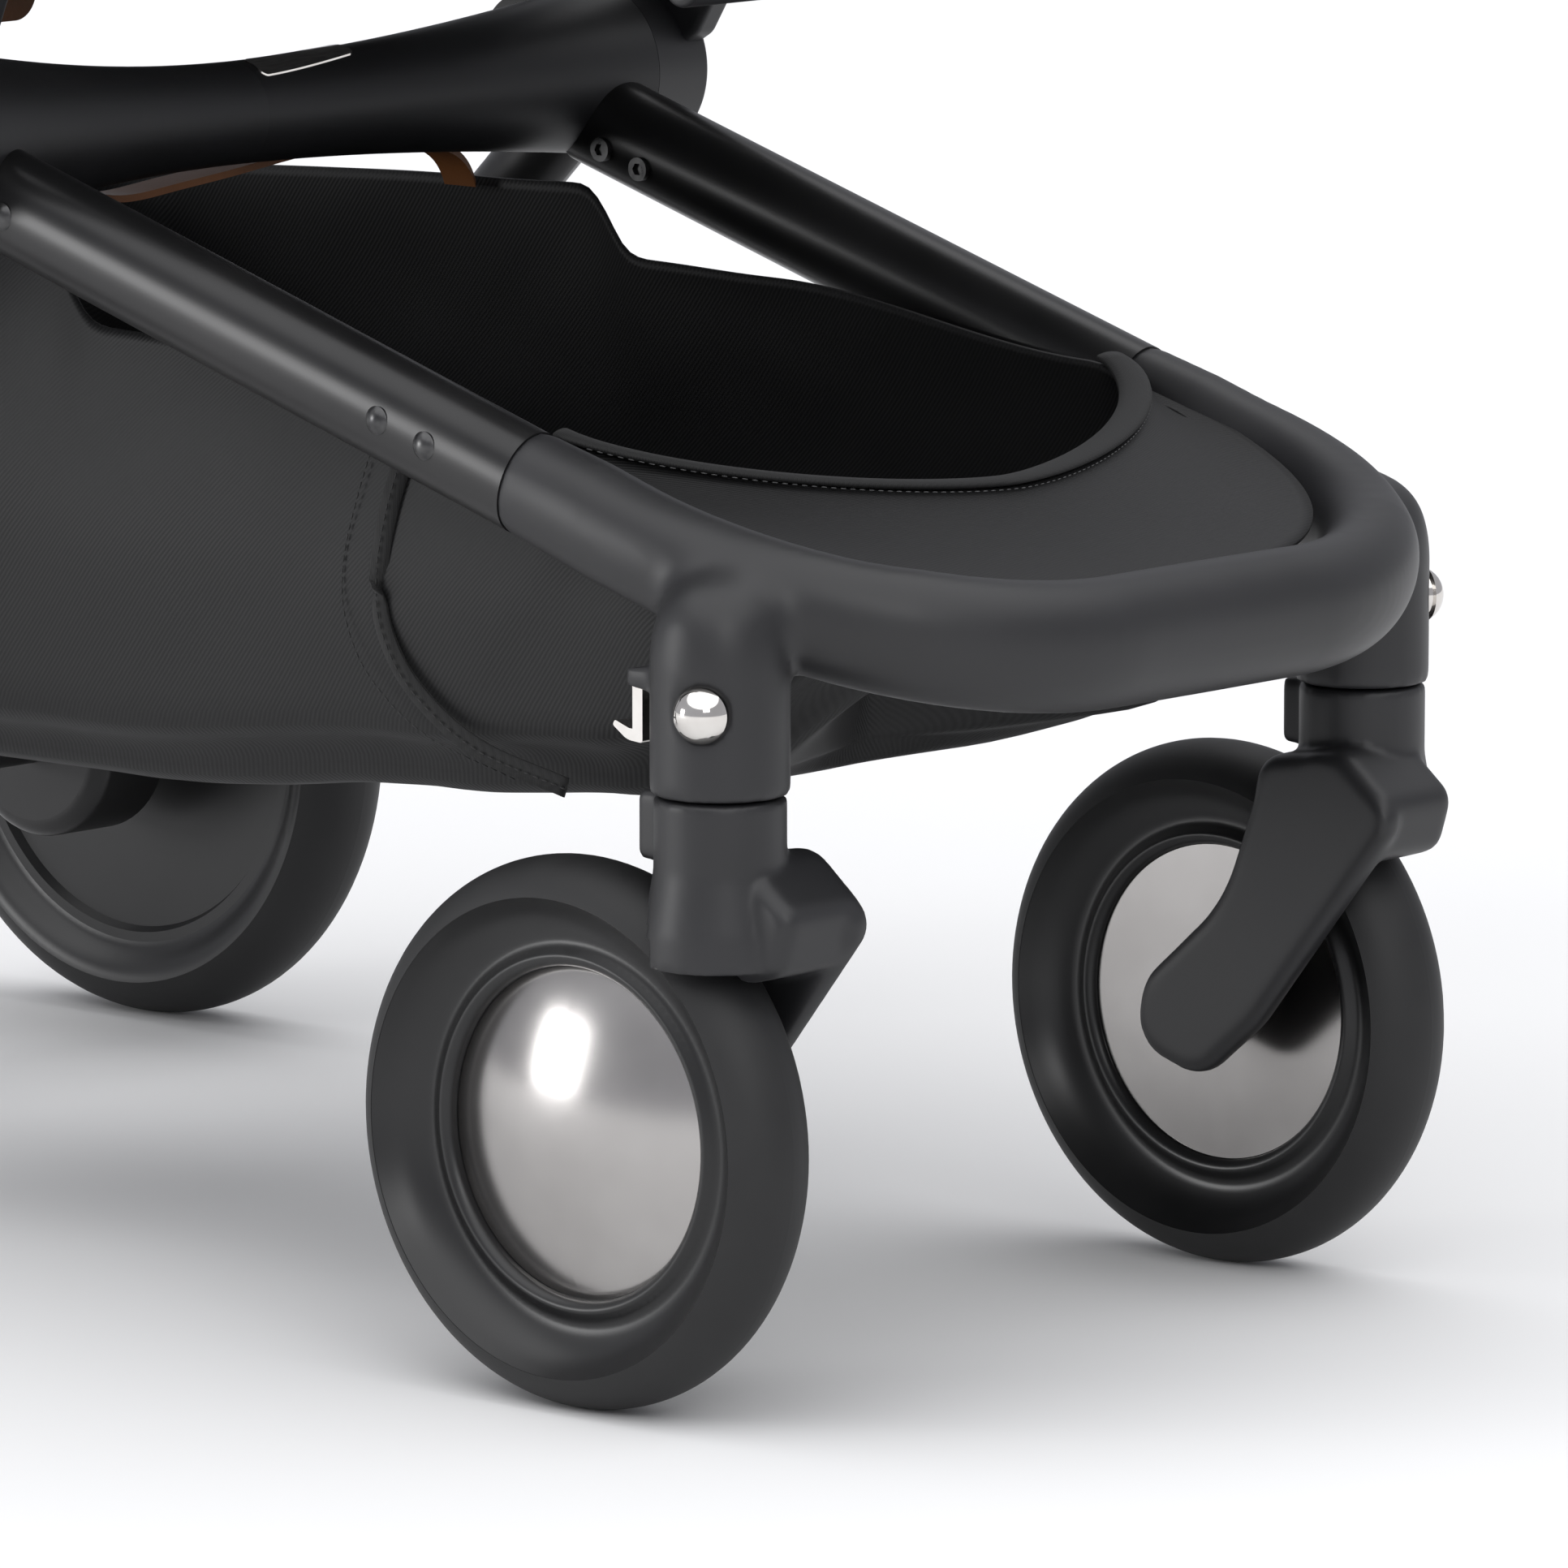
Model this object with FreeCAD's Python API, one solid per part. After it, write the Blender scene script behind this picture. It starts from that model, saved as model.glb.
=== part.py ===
import FreeCAD, Part
import math
import os

# Baby stroller, millimetres, +Z up, front of the stroller towards -Y.
# The design frame has its origin on the floor below the front wheel axles;
# every finished solid is moved by FRAME_SHIFT so that the stored origin is
# the middle of the whole stroller's footprint.

# ---------------------------------------------------------------- sizes
FRONT_WHEEL_R = 95.0
FRONT_TRACK = 170.0             # half distance between the front wheels
FRONT_TYRE_HALF = 20.5
FRONT_SEAM_R = 82.3            # where the tyre meets the rim
REAR_WHEEL_R = 120.0
REAR_TRACK = 275.0
REAR_TYRE_HALF = 24.0
REAR_SEAM_R = 105.4
WHEELBASE = 648.0

SWIVEL_Y = -62.0                # caster swivel axis
SOCKET_BOTTOM = 217.5
SOCKET_R = 23.6
SOCKET_TOP = 270.0              # where the socket's round crown begins
STEM_R = 22.4

LEG_X = 160.0                   # centre of the leg tubes
LEG_W = 30.0
LEG_H = 37.0
LEG_SLOPE = math.radians(17.3)
LEG_Y0 = 30.0                   # point on the leg axis
LEG_Z0 = 311.5
LEG_SEAM_Y = 34.0               # where the bow casting ends
LEG_END_Y = 300.0
TUBE_WALL = 2.0

BOW_R = 112.0                   # bend of the bow, in its own plane
BOW_FRONT_Y = -129.0
BOW_FRONT_W = 38.0
BOW_FRONT_H = 47.0

HUB_Y = 308.5
HUB_Z = 411.0
HUB_R = 32.0
HUB_IN = 172.0
HUB_OUT = 199.5

PIVOT_Y = 345.0                 # common pivot of handle and rear legs
PIVOT_Z = 415.0
PIVOT_PIN_R = 6.0
KNUCKLE_R = 22.0
HANDLE_IN = 200.0
HANDLE_OUT = 218.5
REARLEG_IN = 219.0
REARLEG_OUT = 242.5

REAR_Z = REAR_WHEEL_R
AXLE_R = 6.0
FIT = 0.05                      # radial clearance of a shaft in its bore
GAP = 0.4                       # clearance between bodies

GRIP_Y = 860.0                  # handle bar position
GRIP_Z = 1050.0
HANDLE_BEND_R = 70.0
SLEEVE_LEN = 430.0

SEAT_HINGE_Y = 440.0
SEAT_HINGE_Z = 520.0
BACK_LEAN = math.radians(20.0)
BACK_LEN = 520.0
FOOT_Y = 55.0
FOOT_Z = 590.0
CANOPY_UP = 370.0
CANOPY_R = 232.0

FRAME_SHIFT = FreeCAD.Vector(0, -363.0, 0)

V = FreeCAD.Vector
X_AXIS = V(1, 0, 0)
Y_AXIS = V(0, 1, 0)
Z_AXIS = V(0, 0, 1)


# ---------------------------------------------------------------- helpers
def save(name, shape):
    """Move a finished shape to the stored frame and write it."""
    moved = shape.copy()
    moved.translate(FRAME_SHIFT)
    moved.exportStep("parts/" + name + ".step")
    box = moved.BoundBox
    print("%-26s solids %d  volume %9.0f  z %7.1f..%7.1f  y %7.1f..%7.1f"
          % (name, len(moved.Solids), moved.Volume, box.ZMin, box.ZMax, box.YMin, box.YMax))


def mirrored(shape):
    """The same shape on the other side of the stroller."""
    return shape.mirror(V(0, 0, 0), X_AXIS)


def save_pair(name, shape):
    save(name + "_right", shape)
    save(name + "_left", mirrored(shape))


def fuse(shapes):
    whole = shapes[0].multiFuse(shapes[1:])
    return whole.removeSplitter()


def x_rod(radius, x0, x1, y, z):
    return Part.makeCylinder(radius, x1 - x0, V(x0, y, z), X_AXIS)


def x_ring(outer, inner, x0, x1, y, z):
    return x_rod(outer, x0, x1, y, z).cut(x_rod(inner, x0 - 1, x1 + 1, y, z))


def ellipse_wire(centre, along, across, half_across, half_up):
    """Ellipse in the plane square to 'along'; half_across lies on 'across'."""
    normal = V(along).normalize()
    side = V(across).normalize()
    up = normal.cross(side)
    if half_across >= half_up:
        major, minor, x_dir, y_dir = half_across, half_up, side, up
    else:
        major, minor, x_dir, y_dir = half_up, half_across, up, side
    edge = Part.Ellipse(centre + x_dir * major, centre + y_dir * minor, centre).toShape()
    return Part.Wire(edge)


def yz_plate(points, x0, x1, radii=None):
    """Closed outline of (y, z) corners, each rounded, pushed from x0 to x1."""
    count = len(points)
    radii = radii or [0] * count
    edges = []
    ends = []
    for i in range(count):
        here = V(x0, *points[i])
        before = V(x0, *points[i - 1])
        after = V(x0, *points[(i + 1) % count])
        if radii[i] <= 0:
            ends.append((here, here))
            continue
        a = (before - here).normalize()
        b = (after - here).normalize()
        half = a.getAngle(b) / 2
        reach = radii[i] / math.tan(half)
        start = here + a * reach
        end = here + b * reach
        middle_dir = (a + b).normalize()
        middle = here + middle_dir * (radii[i] / math.sin(half) - radii[i])
        ends.append((start, end))
        edges.append((i, Part.Arc(start, middle, end).toShape()))
    arcs = dict(edges)
    outline = []
    for i in range(count):
        if i in arcs:
            outline.append(arcs[i])
        start = ends[i][1]
        end = ends[(i + 1) % count][0]
        if start.distanceToPoint(end) > 1e-6:
            outline.append(Part.LineSegment(start, end).toShape())
    face = Part.Face(Part.Wire(Part.__sortEdges__(outline)))
    return face.extrude(V(x1 - x0, 0, 0))


def rounded_path(points, radii):
    """Wire through the points with an arc of the given radius at each inner one."""
    edges = []
    last = points[0]
    for i in range(1, len(points) - 1):
        here = points[i]
        a = (points[i - 1] - here).normalize()
        b = (points[i + 1] - here).normalize()
        half = a.getAngle(b) / 2
        radius = radii[i - 1]
        reach = radius / math.tan(half)
        start = here + a * reach
        end = here + b * reach
        middle = here + (a + b).normalize() * (radius / math.sin(half) - radius)
        if last.distanceToPoint(start) > 1e-6:
            edges.append(Part.LineSegment(last, start).toShape())
        edges.append(Part.Arc(start, middle, end).toShape())
        last = end
    edges.append(Part.LineSegment(last, points[-1]).toShape())
    return Part.Wire(edges)


def tube_along(points, radii, radius, wall=0.0):
    """Round tube, or rod where wall is 0, along a rounded path."""
    path = rounded_path(points, radii)
    along = points[1] - points[0]
    outer = Part.Wire(Part.makeCircle(radius, points[0], along))
    solid = path.makePipeShell([outer], True, False)
    if wall:
        inner = Part.Wire(Part.makeCircle(radius - wall, points[0], along))
        solid = solid.cut(path.makePipeShell([inner], True, False))
    return solid


def soften(shape, radius, pick=None):
    """Fillet the edges that 'pick' accepts; all edges by default."""
    edges = [e for e in shape.Edges if pick is None or pick(e)]
    return shape.makeFillet(radius, edges)


def leg_axis(y):
    return V(LEG_X, y, LEG_Z0 + (y - LEG_Y0) * math.tan(LEG_SLOPE))


LEG_DIR = V(0, math.cos(LEG_SLOPE), math.sin(LEG_SLOPE))


# ---------------------------------------------------------------- front frame
def front_bow():
    """U-shaped casting with the two caster sockets."""
    start = leg_axis(LEG_SEAM_Y)
    corner_far = leg_axis(BOW_FRONT_Y)
    corner_near = V(-corner_far.x, corner_far.y, corner_far.z)
    end = V(-start.x, start.y, start.z)
    path = rounded_path([start, corner_far, corner_near, end], [BOW_R, BOW_R])
    front = leg_axis(BOW_FRONT_Y)
    front.x = 0
    at_start = ellipse_wire(start, LEG_DIR, X_AXIS, LEG_W / 2, LEG_H / 2)
    at_front = ellipse_wire(front, X_AXIS, LEG_DIR, BOW_FRONT_W / 2, BOW_FRONT_H / 2)
    at_end = ellipse_wire(end, LEG_DIR, X_AXIS, LEG_W / 2, LEG_H / 2)
    bow = path.makePipeShell([at_start, at_front, at_end], True, False)
    spigot = []
    sockets = []
    bores = []
    for side in (1, -1):
        x = side * FRONT_TRACK
        socket = Part.makeCylinder(SOCKET_R, SOCKET_TOP - SOCKET_BOTTOM, V(x, SWIVEL_Y, SOCKET_BOTTOM))
        socket = soften(socket, 1.2, lambda e: e.BoundBox.ZMax < SOCKET_BOTTOM + 0.1)
        crown = Part.makeSphere(SOCKET_R, V(x, SWIVEL_Y, SOCKET_TOP))
        sockets += [socket, crown]
        bores.append(Part.makeCylinder(BUSH_R, 62, V(x, SWIVEL_Y, SOCKET_BOTTOM - 1)))
        seam = V(x / abs(x) * LEG_X, start.y, start.z)
        plug = ellipse_wire(seam, LEG_DIR, X_AXIS, LEG_W / 2 - TUBE_WALL - FIT, LEG_H / 2 - TUBE_WALL - FIT)
        spigot.append(Part.Face(plug).extrude(LEG_DIR * 26))
    whole = fuse([bow] + sockets + spigot)
    for bore in bores:
        whole = whole.cut(bore)
    for side in (1, -1):
        whole = whole.cut(button_hole(side))
    for side in (1, -1):
        whole = whole.fuse(lever_boss(side))
    return whole


BUSH_R = 9.0
BUTTON_R = 9.4
BUTTON_TURN = math.radians(26.0)        # forward of straight outwards
BUTTON_Z = 247.3


def button_dir(side):
    return V(side * math.cos(BUTTON_TURN), -math.sin(BUTTON_TURN), 0)


def button_hole(side):
    out = button_dir(side)
    centre = V(side * FRONT_TRACK, SWIVEL_Y, BUTTON_Z)
    bore = Part.makeCylinder(BUTTON_R - 1.4 + FIT, 14, centre + out * 13.5, out)
    seat = Part.makeCylinder(BUTTON_R + 0.4, 8, centre + out * (SOCKET_R - 2.0), out)
    return bore.fuse(seat)


def caster_button(side):
    """Polished dome on a short stem that slides in the socket wall."""
    out = button_dir(side)
    centre = V(side * FRONT_TRACK, SWIVEL_Y, BUTTON_Z)
    stem = Part.makeCylinder(BUTTON_R - 1.4, 7.9, centre + out * 16.5, out)
    face_at = SOCKET_R + 0.8
    sphere_r = 10.2
    drop = math.sqrt(sphere_r ** 2 - BUTTON_R ** 2)
    dome = Part.makeSphere(sphere_r, centre + out * (face_at - drop))
    keep = Part.makeCylinder(BUTTON_R + 1, 14, centre + out * face_at, out)
    return fuse([stem, dome.common(keep)])


def leg_tube():
    start = leg_axis(LEG_SEAM_Y)
    length = (LEG_END_Y - LEG_SEAM_Y) / math.cos(LEG_SLOPE)
    outer = Part.Face(ellipse_wire(start, LEG_DIR, X_AXIS, LEG_W / 2, LEG_H / 2))
    inner = Part.Face(ellipse_wire(start, LEG_DIR, X_AXIS, LEG_W / 2 - TUBE_WALL, LEG_H / 2 - TUBE_WALL))
    return outer.cut(inner).extrude(LEG_DIR * length)


def cross_member():
    """Right half of the cross member: a waisted round pod, seam in the middle."""
    stations = [(0.0, 330.0, 406.0, 18.8), (60.0, 325.0, 407.0, 20.6), (120.0, 316.0, 409.0, 25.6),
                (HUB_IN - 0.2, HUB_Y, HUB_Z, HUB_R)]
    rings = [Part.Wire(Part.makeCircle(r, V(x, y, z), X_AXIS)) for x, y, z, r in stations]
    pod = Part.makeLoft(rings, True, False)
    return pod.cut(leg_room())


def leg_room():
    """The space that the end of the leg tube fills in the hub."""
    mouth = Part.Face(ellipse_wire(leg_axis(240.0), LEG_DIR, X_AXIS, LEG_W / 2 + 0.02, LEG_H / 2 + 0.02))
    return mouth.extrude(LEG_DIR * ((LEG_END_Y - 240.0) / math.cos(LEG_SLOPE) + 0.05))


def trim_plate():
    """Thin metal inlay lying on top of the cross member, right of the seam."""
    pod = cross_member()
    lifted = pod.copy()
    lifted.translate(V(0, 0, 0.7))
    band = Part.makeBox(48, 11, 60, V(3, 317, 410))
    band = soften(band, 3, lambda e: abs(e.tangentAt(0).z) > 0.9)
    return lifted.common(band).cut(pod)


def hub_cover():
    """Round cover outside the cross member, with a rear lobe that holds the pivot pin."""
    disc = x_rod(HUB_R, HUB_IN, HUB_OUT, HUB_Y, HUB_Z)
    lobe = x_rod(KNUCKLE_R, HUB_IN, HUB_OUT, PIVOT_Y, PIVOT_Z)
    bridge = yz_plate([(HUB_Y + 2, HUB_Z - HUB_R + 0.8), (PIVOT_Y + 2, PIVOT_Z - KNUCKLE_R + 0.5),
                       (PIVOT_Y - 2, PIVOT_Z + KNUCKLE_R - 0.5), (HUB_Y + 2, HUB_Z + HUB_R - 0.6)],
                      HUB_IN, HUB_OUT)
    cover = fuse([disc, lobe, bridge])
    cover = soften(cover, 2.0, lambda e: e.BoundBox.XLength < 0.1 and e.BoundBox.XMin > HUB_OUT - 0.1)
    cover = cover.cut(leg_room())
    return cover.cut(x_rod(PIVOT_PIN_R, HUB_IN - 1, HUB_OUT + 1, PIVOT_Y, PIVOT_Z))


POST_IN = 187.5
POST_OUT = 199.5


def seat_post():
    """Upright that rises from the hub and carries the seat."""
    outline = [(288, 416), (273, 425), (263, 441), (238, 500), (236, 515), (292, 515), (304, 438)]
    post = yz_plate(outline, POST_IN, POST_OUT, [2, 8, 30, 10, 3, 3, 14])
    post = soften(post, 3, lambda e: e.BoundBox.XLength < 0.1)
    shelf = yz_plate([(238, 500), (236, 515), (292, 515), (293, 500)], SIDE_IN, POST_IN + 4, [3, 2, 2, 3])
    post = post.fuse(shelf)
    ground = x_rod(HUB_R, HUB_IN - 1, HUB_OUT + 1, HUB_Y, HUB_Z)
    return post.cut(ground)


def tube_rivets():
    """Dome rivets on the outer face of each leg tube."""
    heads = []
    for y in (69.0, 91.0, 272.0):
        for side in (1, -1):
            at = leg_axis(y)
            at.x = side * (LEG_X + LEG_W / 2)
            out = V(side, 0, 0)
            ball = Part.makeSphere(6.4, at - out * 4.0)
            keep = Part.makeCylinder(7, 6, at, out)
            heads.append(ball.common(keep))
    return Part.makeCompound(heads)


def hub_screws():
    """Socket-head screws on the inner face of each leg tube, below the hub."""
    heads = []
    for y in (262.0, 281.0):
        for side in (1, -1):
            at = leg_axis(y) + V(0, 0, -5.0)
            at.x = side * (LEG_X - LEG_W / 2 - 1.6)
            into = V(side, 0, 0)
            head = Part.makeCylinder(4.4, 3.0, at, into)
            hexagon = Part.Wire(Part.makePolygon([at + V(0, 2.4 * math.cos(a), 2.4 * math.sin(a))
                                                  for a in [math.radians(60 * k) for k in range(7)]]))
            head = head.cut(Part.Face(hexagon).extrude(into * 1.6))
            tube = Part.Face(ellipse_wire(leg_axis(LEG_SEAM_Y), LEG_DIR, X_AXIS, LEG_W / 2, LEG_H / 2))
            tube = tube.extrude(LEG_DIR * 300)
            if side < 0:
                tube = mirrored(tube)
            heads.append(head.cut(tube))
    return Part.makeCompound(heads)


def pivot_pins():
    pins = []
    for side in (1, -1):
        x0, x1 = sorted((side * (HUB_IN + 2), side * (REARLEG_OUT + 1.4)))
        pin = x_rod(PIVOT_PIN_R - FIT, x0, x1, PIVOT_Y, PIVOT_Z)
        pins.append(pin)
    return Part.makeCompound(pins)


# ---------------------------------------------------------------- casters and front wheels
ARM_IN = 23.0                   # inner face of the arm, from the wheel's middle plane
ARM_OUT = 33.5
LUG_HALF = 8.0
LUG_REACH = 31.0


def wheel_clearance():
    """Room the front wheel needs inside the caster."""
    room = x_rod(FRONT_WHEEL_R + 3.0, -22.8, 22.8, 0, FRONT_WHEEL_R)
    return soften(room, 14)


def caster_fork():
    """Right caster: stem with a flared foot and a single blade on its inner side.

    Built about the wheel's middle plane x = 0, inner side towards +x, and then
    moved to its side.
    """
    top = SOCKET_BOTTOM - GAP
    stem = Part.makeCylinder(STEM_R, top - 160, V(0, SWIVEL_Y, 160))
    stem = soften(stem, 1.0, lambda e: e.BoundBox.ZMin > top - 0.1)
    flare = Part.makeCone(26.0, STEM_R, 20, V(0, SWIVEL_Y, 172))
    foot = Part.makeCylinder(26.0, 12, V(0, SWIVEL_Y, 160))
    pin = Part.makeCylinder(BUSH_R - FIT, 58, V(0, SWIVEL_Y, SOCKET_BOTTOM - 2))
    shoulder = yz_plate([(-100, 180), (-94, 160), (-60, 150), (-36, 170), (-40, 192), (-78, 198)],
                        -8, ARM_OUT, [9, 9, 6, 8, 12, 14])
    shoulder = soften(shoulder, 6, lambda e: e.BoundBox.XLength < 0.1)
    lug = Part.makeBox(2 * LUG_HALF, LUG_REACH - 14, 24, V(-LUG_HALF, SWIVEL_Y + 14, top - 24))
    lug = soften(lug, 2.5)
    blade = yz_plate([(-105, 176), (-40, 94), (-14, 72), (17, 82), (12, 106), (-24, 138), (-42, 186), (-70, 198)],
                     ARM_IN, ARM_OUT, [10, 40, 17, 16, 20, 60, 16, 16])
    blade = soften(blade, 4.0, lambda e: e.BoundBox.XLength < 0.1)
    boss = x_rod(12.0, 15.0, ARM_IN + 2, 0, FRONT_WHEEL_R)
    body = fuse([stem, flare, foot, shoulder, lug, blade, pin])
    body = body.cut(wheel_clearance()).fuse(boss)
    return body.cut(x_rod(AXLE_R, 10.0, ARM_OUT - 4, 0, FRONT_WHEEL_R))


def to_side(shape, side):
    """Put a shape built about x = 0, inner side towards +x, on one side."""
    if side > 0:
        shape = mirrored(shape)
    placed = shape.copy()
    placed.translate(V(side * FRONT_TRACK, 0, 0))
    return placed


def front_axle():
    return x_rod(AXLE_R - 0.02, -13.0, ARM_OUT - 4.2, 0, FRONT_WHEEL_R)


def wheel_solid(straight, curved, wheel_r):
    """Turned wheel body: straight runs from the bore, then a smooth dish to the seam.

    Points are (half width, radius); the other face mirrors them.
    """
    def at(point, side):
        return V(side * point[0], 0, wheel_r + point[1])

    edges = []
    for side in (1, -1):
        for first, second in zip(straight[:-1], straight[1:]):
            edges.append(Part.LineSegment(at(first, side), at(second, side)).toShape())
        dish = Part.BSplineCurve()
        dish.interpolate([at(p, side) for p in [straight[-1]] + curved])
        edges.append(dish.toShape())
    edges.append(Part.LineSegment(at(straight[0], -1), at(straight[0], 1)).toShape())
    edges.append(Part.LineSegment(at(curved[-1], -1), at(curved[-1], 1)).toShape())
    face = Part.Face(Part.Wire(Part.__sortEdges__(edges)))
    return face.revolve(V(0, 0, wheel_r), X_AXIS, 360)


def tyre(wheel_r, half_w, half_h, seam_r):
    """Rubber ring with an oval section, cut off where it meets the rim."""
    centre = V(0, 0, wheel_r + wheel_r - half_h)
    long_end, short_end = V(half_w, 0, 0), V(0, 0, half_h)
    if half_h > half_w:
        long_end, short_end = V(0, 0, half_h), V(-half_w, 0, 0)
    edge = Part.Ellipse(centre + long_end, centre + short_end, centre).toShape()
    ring = Part.Face(Part.Wire(edge)).revolve(V(0, 0, wheel_r), X_AXIS, 360)
    return ring.cut(x_rod(seam_r, -half_w - 1, half_w + 1, 0, wheel_r))


def front_rim_body():
    """Dished rim with a raised lip round the dome on both faces."""
    straight = [(11.5, AXLE_R + FIT), (11.5, 16), (2.0, 16), (2.0, 57.2), (4.2, 57.4)]
    curved = [(6.4, 58.8), (7.2, 60.8), (5.9, 63.0), (4.6, 65.6), (6.0, 70.5), (10.2, 76.2), (15.2, 80.2),
              (18.4, FRONT_SEAM_R)]
    return wheel_solid(straight, curved, FRONT_WHEEL_R)


def front_tyre_body():
    return tyre(FRONT_WHEEL_R, FRONT_TYRE_HALF, 21.5, FRONT_SEAM_R)


DOME_EDGE_R = 57.0
DOME_RISE = 13.5


def dome_cap(rise, base_x, thick):
    """Spherical cap shell with its rim at base_x, bulging towards +x."""
    sphere_r = (DOME_EDGE_R ** 2 + rise ** 2) / (2 * rise)
    centre = V(base_x + rise - sphere_r, 0, FRONT_WHEEL_R)
    outer = Part.makeSphere(sphere_r, centre)
    inner = Part.makeSphere(sphere_r - thick, centre)
    keep = x_rod(DOME_EDGE_R, base_x, base_x + rise + 5, 0, FRONT_WHEEL_R)
    return outer.common(keep).cut(inner)


def front_domes():
    """Outer dome and the flatter inner disc, which the axle passes through."""
    outer = dome_cap(DOME_RISE, 2.2, 1.2)
    outer = outer.mirror(V(0, 0, 0), X_AXIS)
    inner = x_ring(DOME_EDGE_R, 17.0, 2.2, 3.4, 0, FRONT_WHEEL_R)
    return Part.makeCompound([outer, inner])


LEVER_HALF = 7.8
LEVER_TOP = 258.0
LEVER_PIN_R = 1.6


def lever_y():
    return SWIVEL_Y + SOCKET_R + 4.4


def lock_lever():
    """Swivel-lock lever behind the socket: upright plate with a turned-out foot."""
    y0 = lever_y()
    plate = yz_plate([(y0, LEVER_TOP), (y0, 237), (y0 + 4.5, 237), (y0 + 4.5, LEVER_TOP)],
                     -LEVER_HALF, LEVER_HALF, [1.5, 0, 0, 2.4])
    foot = yz_plate([(y0, 237.1), (y0, 232.6), (y0 + 7, 233.2), (y0 + 13.5, 237.6), (y0 + 12.6, 239.4),
                     (y0 + 6, 237.1)], -LEVER_HALF, LEVER_HALF, [0, 1, 8, 0.9, 0.9, 4])
    lever = fuse([plate, foot])
    return lever.cut(x_rod(LEVER_PIN_R, -20, 20, y0 + 2.2, LEVER_TOP - 3.4))


def lever_boss(side):
    """Hinge block on the socket that carries the lock lever, with its cross pin."""
    x = side * FRONT_TRACK
    y0 = lever_y()
    block = Part.makeBox(2 * LEVER_HALF + 5.6, 10, 9, V(x - LEVER_HALF - 2.8, y0 - 9, LEVER_TOP - 7.5))
    block = block.fuse(Part.makeBox(2.2, 6, 9, V(x - LEVER_HALF - 2.8, y0 - 1, LEVER_TOP - 7.5)))
    block = block.fuse(Part.makeBox(2.2, 6, 9, V(x + LEVER_HALF + 0.6, y0 - 1, LEVER_TOP - 7.5)))
    slot = Part.makeBox(2 * LEVER_HALF + 1.2, 20, 30, V(x - LEVER_HALF - 0.6, y0 - 0.6, LEVER_TOP - 25))
    pin = x_rod(LEVER_PIN_R - FIT, x - LEVER_HALF - 2.8, x + LEVER_HALF + 2.8, y0 + 2.2, LEVER_TOP - 3.4)
    return block.cut(slot).fuse(pin)


# ---------------------------------------------------------------- rear frame
def rear_leg():
    """Oval tube from the pivot knuckle down to the wheel housing."""
    middle_x = (REARLEG_IN + REARLEG_OUT) / 2
    half_w = (REARLEG_OUT - REARLEG_IN) / 2
    top = V(middle_x, PIVOT_Y, PIVOT_Z)
    bottom = V(middle_x, WHEELBASE, REAR_Z)
    run = bottom - top
    start = top + V(run).normalize() * 14
    section = ellipse_wire(start, run, X_AXIS, half_w, 15.5)
    stop = run.Length - 14 - 30
    bar = Part.Face(section).extrude(V(run).normalize() * stop)
    knuckle = x_rod(KNUCKLE_R, REARLEG_IN, REARLEG_OUT, PIVOT_Y, PIVOT_Z)
    knuckle = soften(knuckle, 3)
    housing = x_rod(BRAKE_R, HOUSING_IN, REARLEG_OUT, WHEELBASE, REAR_Z)
    housing = soften(housing, 7, lambda e: e.BoundBox.XMax < HOUSING_IN + 0.1)
    leg = fuse([bar, knuckle, housing])
    leg = leg.cut(x_rod(PIVOT_PIN_R, REARLEG_IN - 1, REARLEG_OUT + 1, PIVOT_Y, PIVOT_Z))
    bore = x_rod(AXLE_TUBE_R, HOUSING_IN - 1, HOUSING_IN + 10, WHEELBASE, REAR_Z)
    shaft = x_rod(AXLE_R, HOUSING_IN - 1, REARLEG_OUT + 1, WHEELBASE, REAR_Z)
    return leg.cut(bore).cut(shaft)


BRAKE_R = 41.0
HOUSING_IN = 206.0
AXLE_TUBE_R = 11.0


def rear_axle_tube():
    reach = HOUSING_IN + 10
    return x_ring(AXLE_TUBE_R, AXLE_R + 2, -reach, reach, WHEELBASE, REAR_Z)


def rear_axle_pin():
    return x_rod(AXLE_R - 0.02, HOUSING_IN + 11, REAR_TRACK + 13, WHEELBASE, REAR_Z)


def rear_rim_body():
    """Flat recessed disc with a stepped ring and a solid hub."""
    straight = [(13.5, AXLE_R + FIT), (13.5, 20), (10.6, 23), (9.6, 84.0), (13.0, 86.0), (13.0, 90.0)]
    curved = [(13.9, 92.4), (17.6, 97.0), (20.6, 101.6), (21.5, REAR_SEAM_R)]
    return wheel_solid(straight, curved, REAR_WHEEL_R)


def rear_tyre_body():
    return tyre(REAR_WHEEL_R, REAR_TYRE_HALF, 26.0, REAR_SEAM_R)


def rear_cap():
    cap = x_rod(15.0, 13.7, 19.0, 0, REAR_WHEEL_R)
    return soften(cap, 2.5, lambda e: e.BoundBox.XMin > 18.9)


def to_rear(shape, side):
    if side < 0:
        shape = mirrored(shape)
    placed = shape.copy()
    placed.translate(V(side * REAR_TRACK, WHEELBASE, 0))
    return placed


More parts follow.
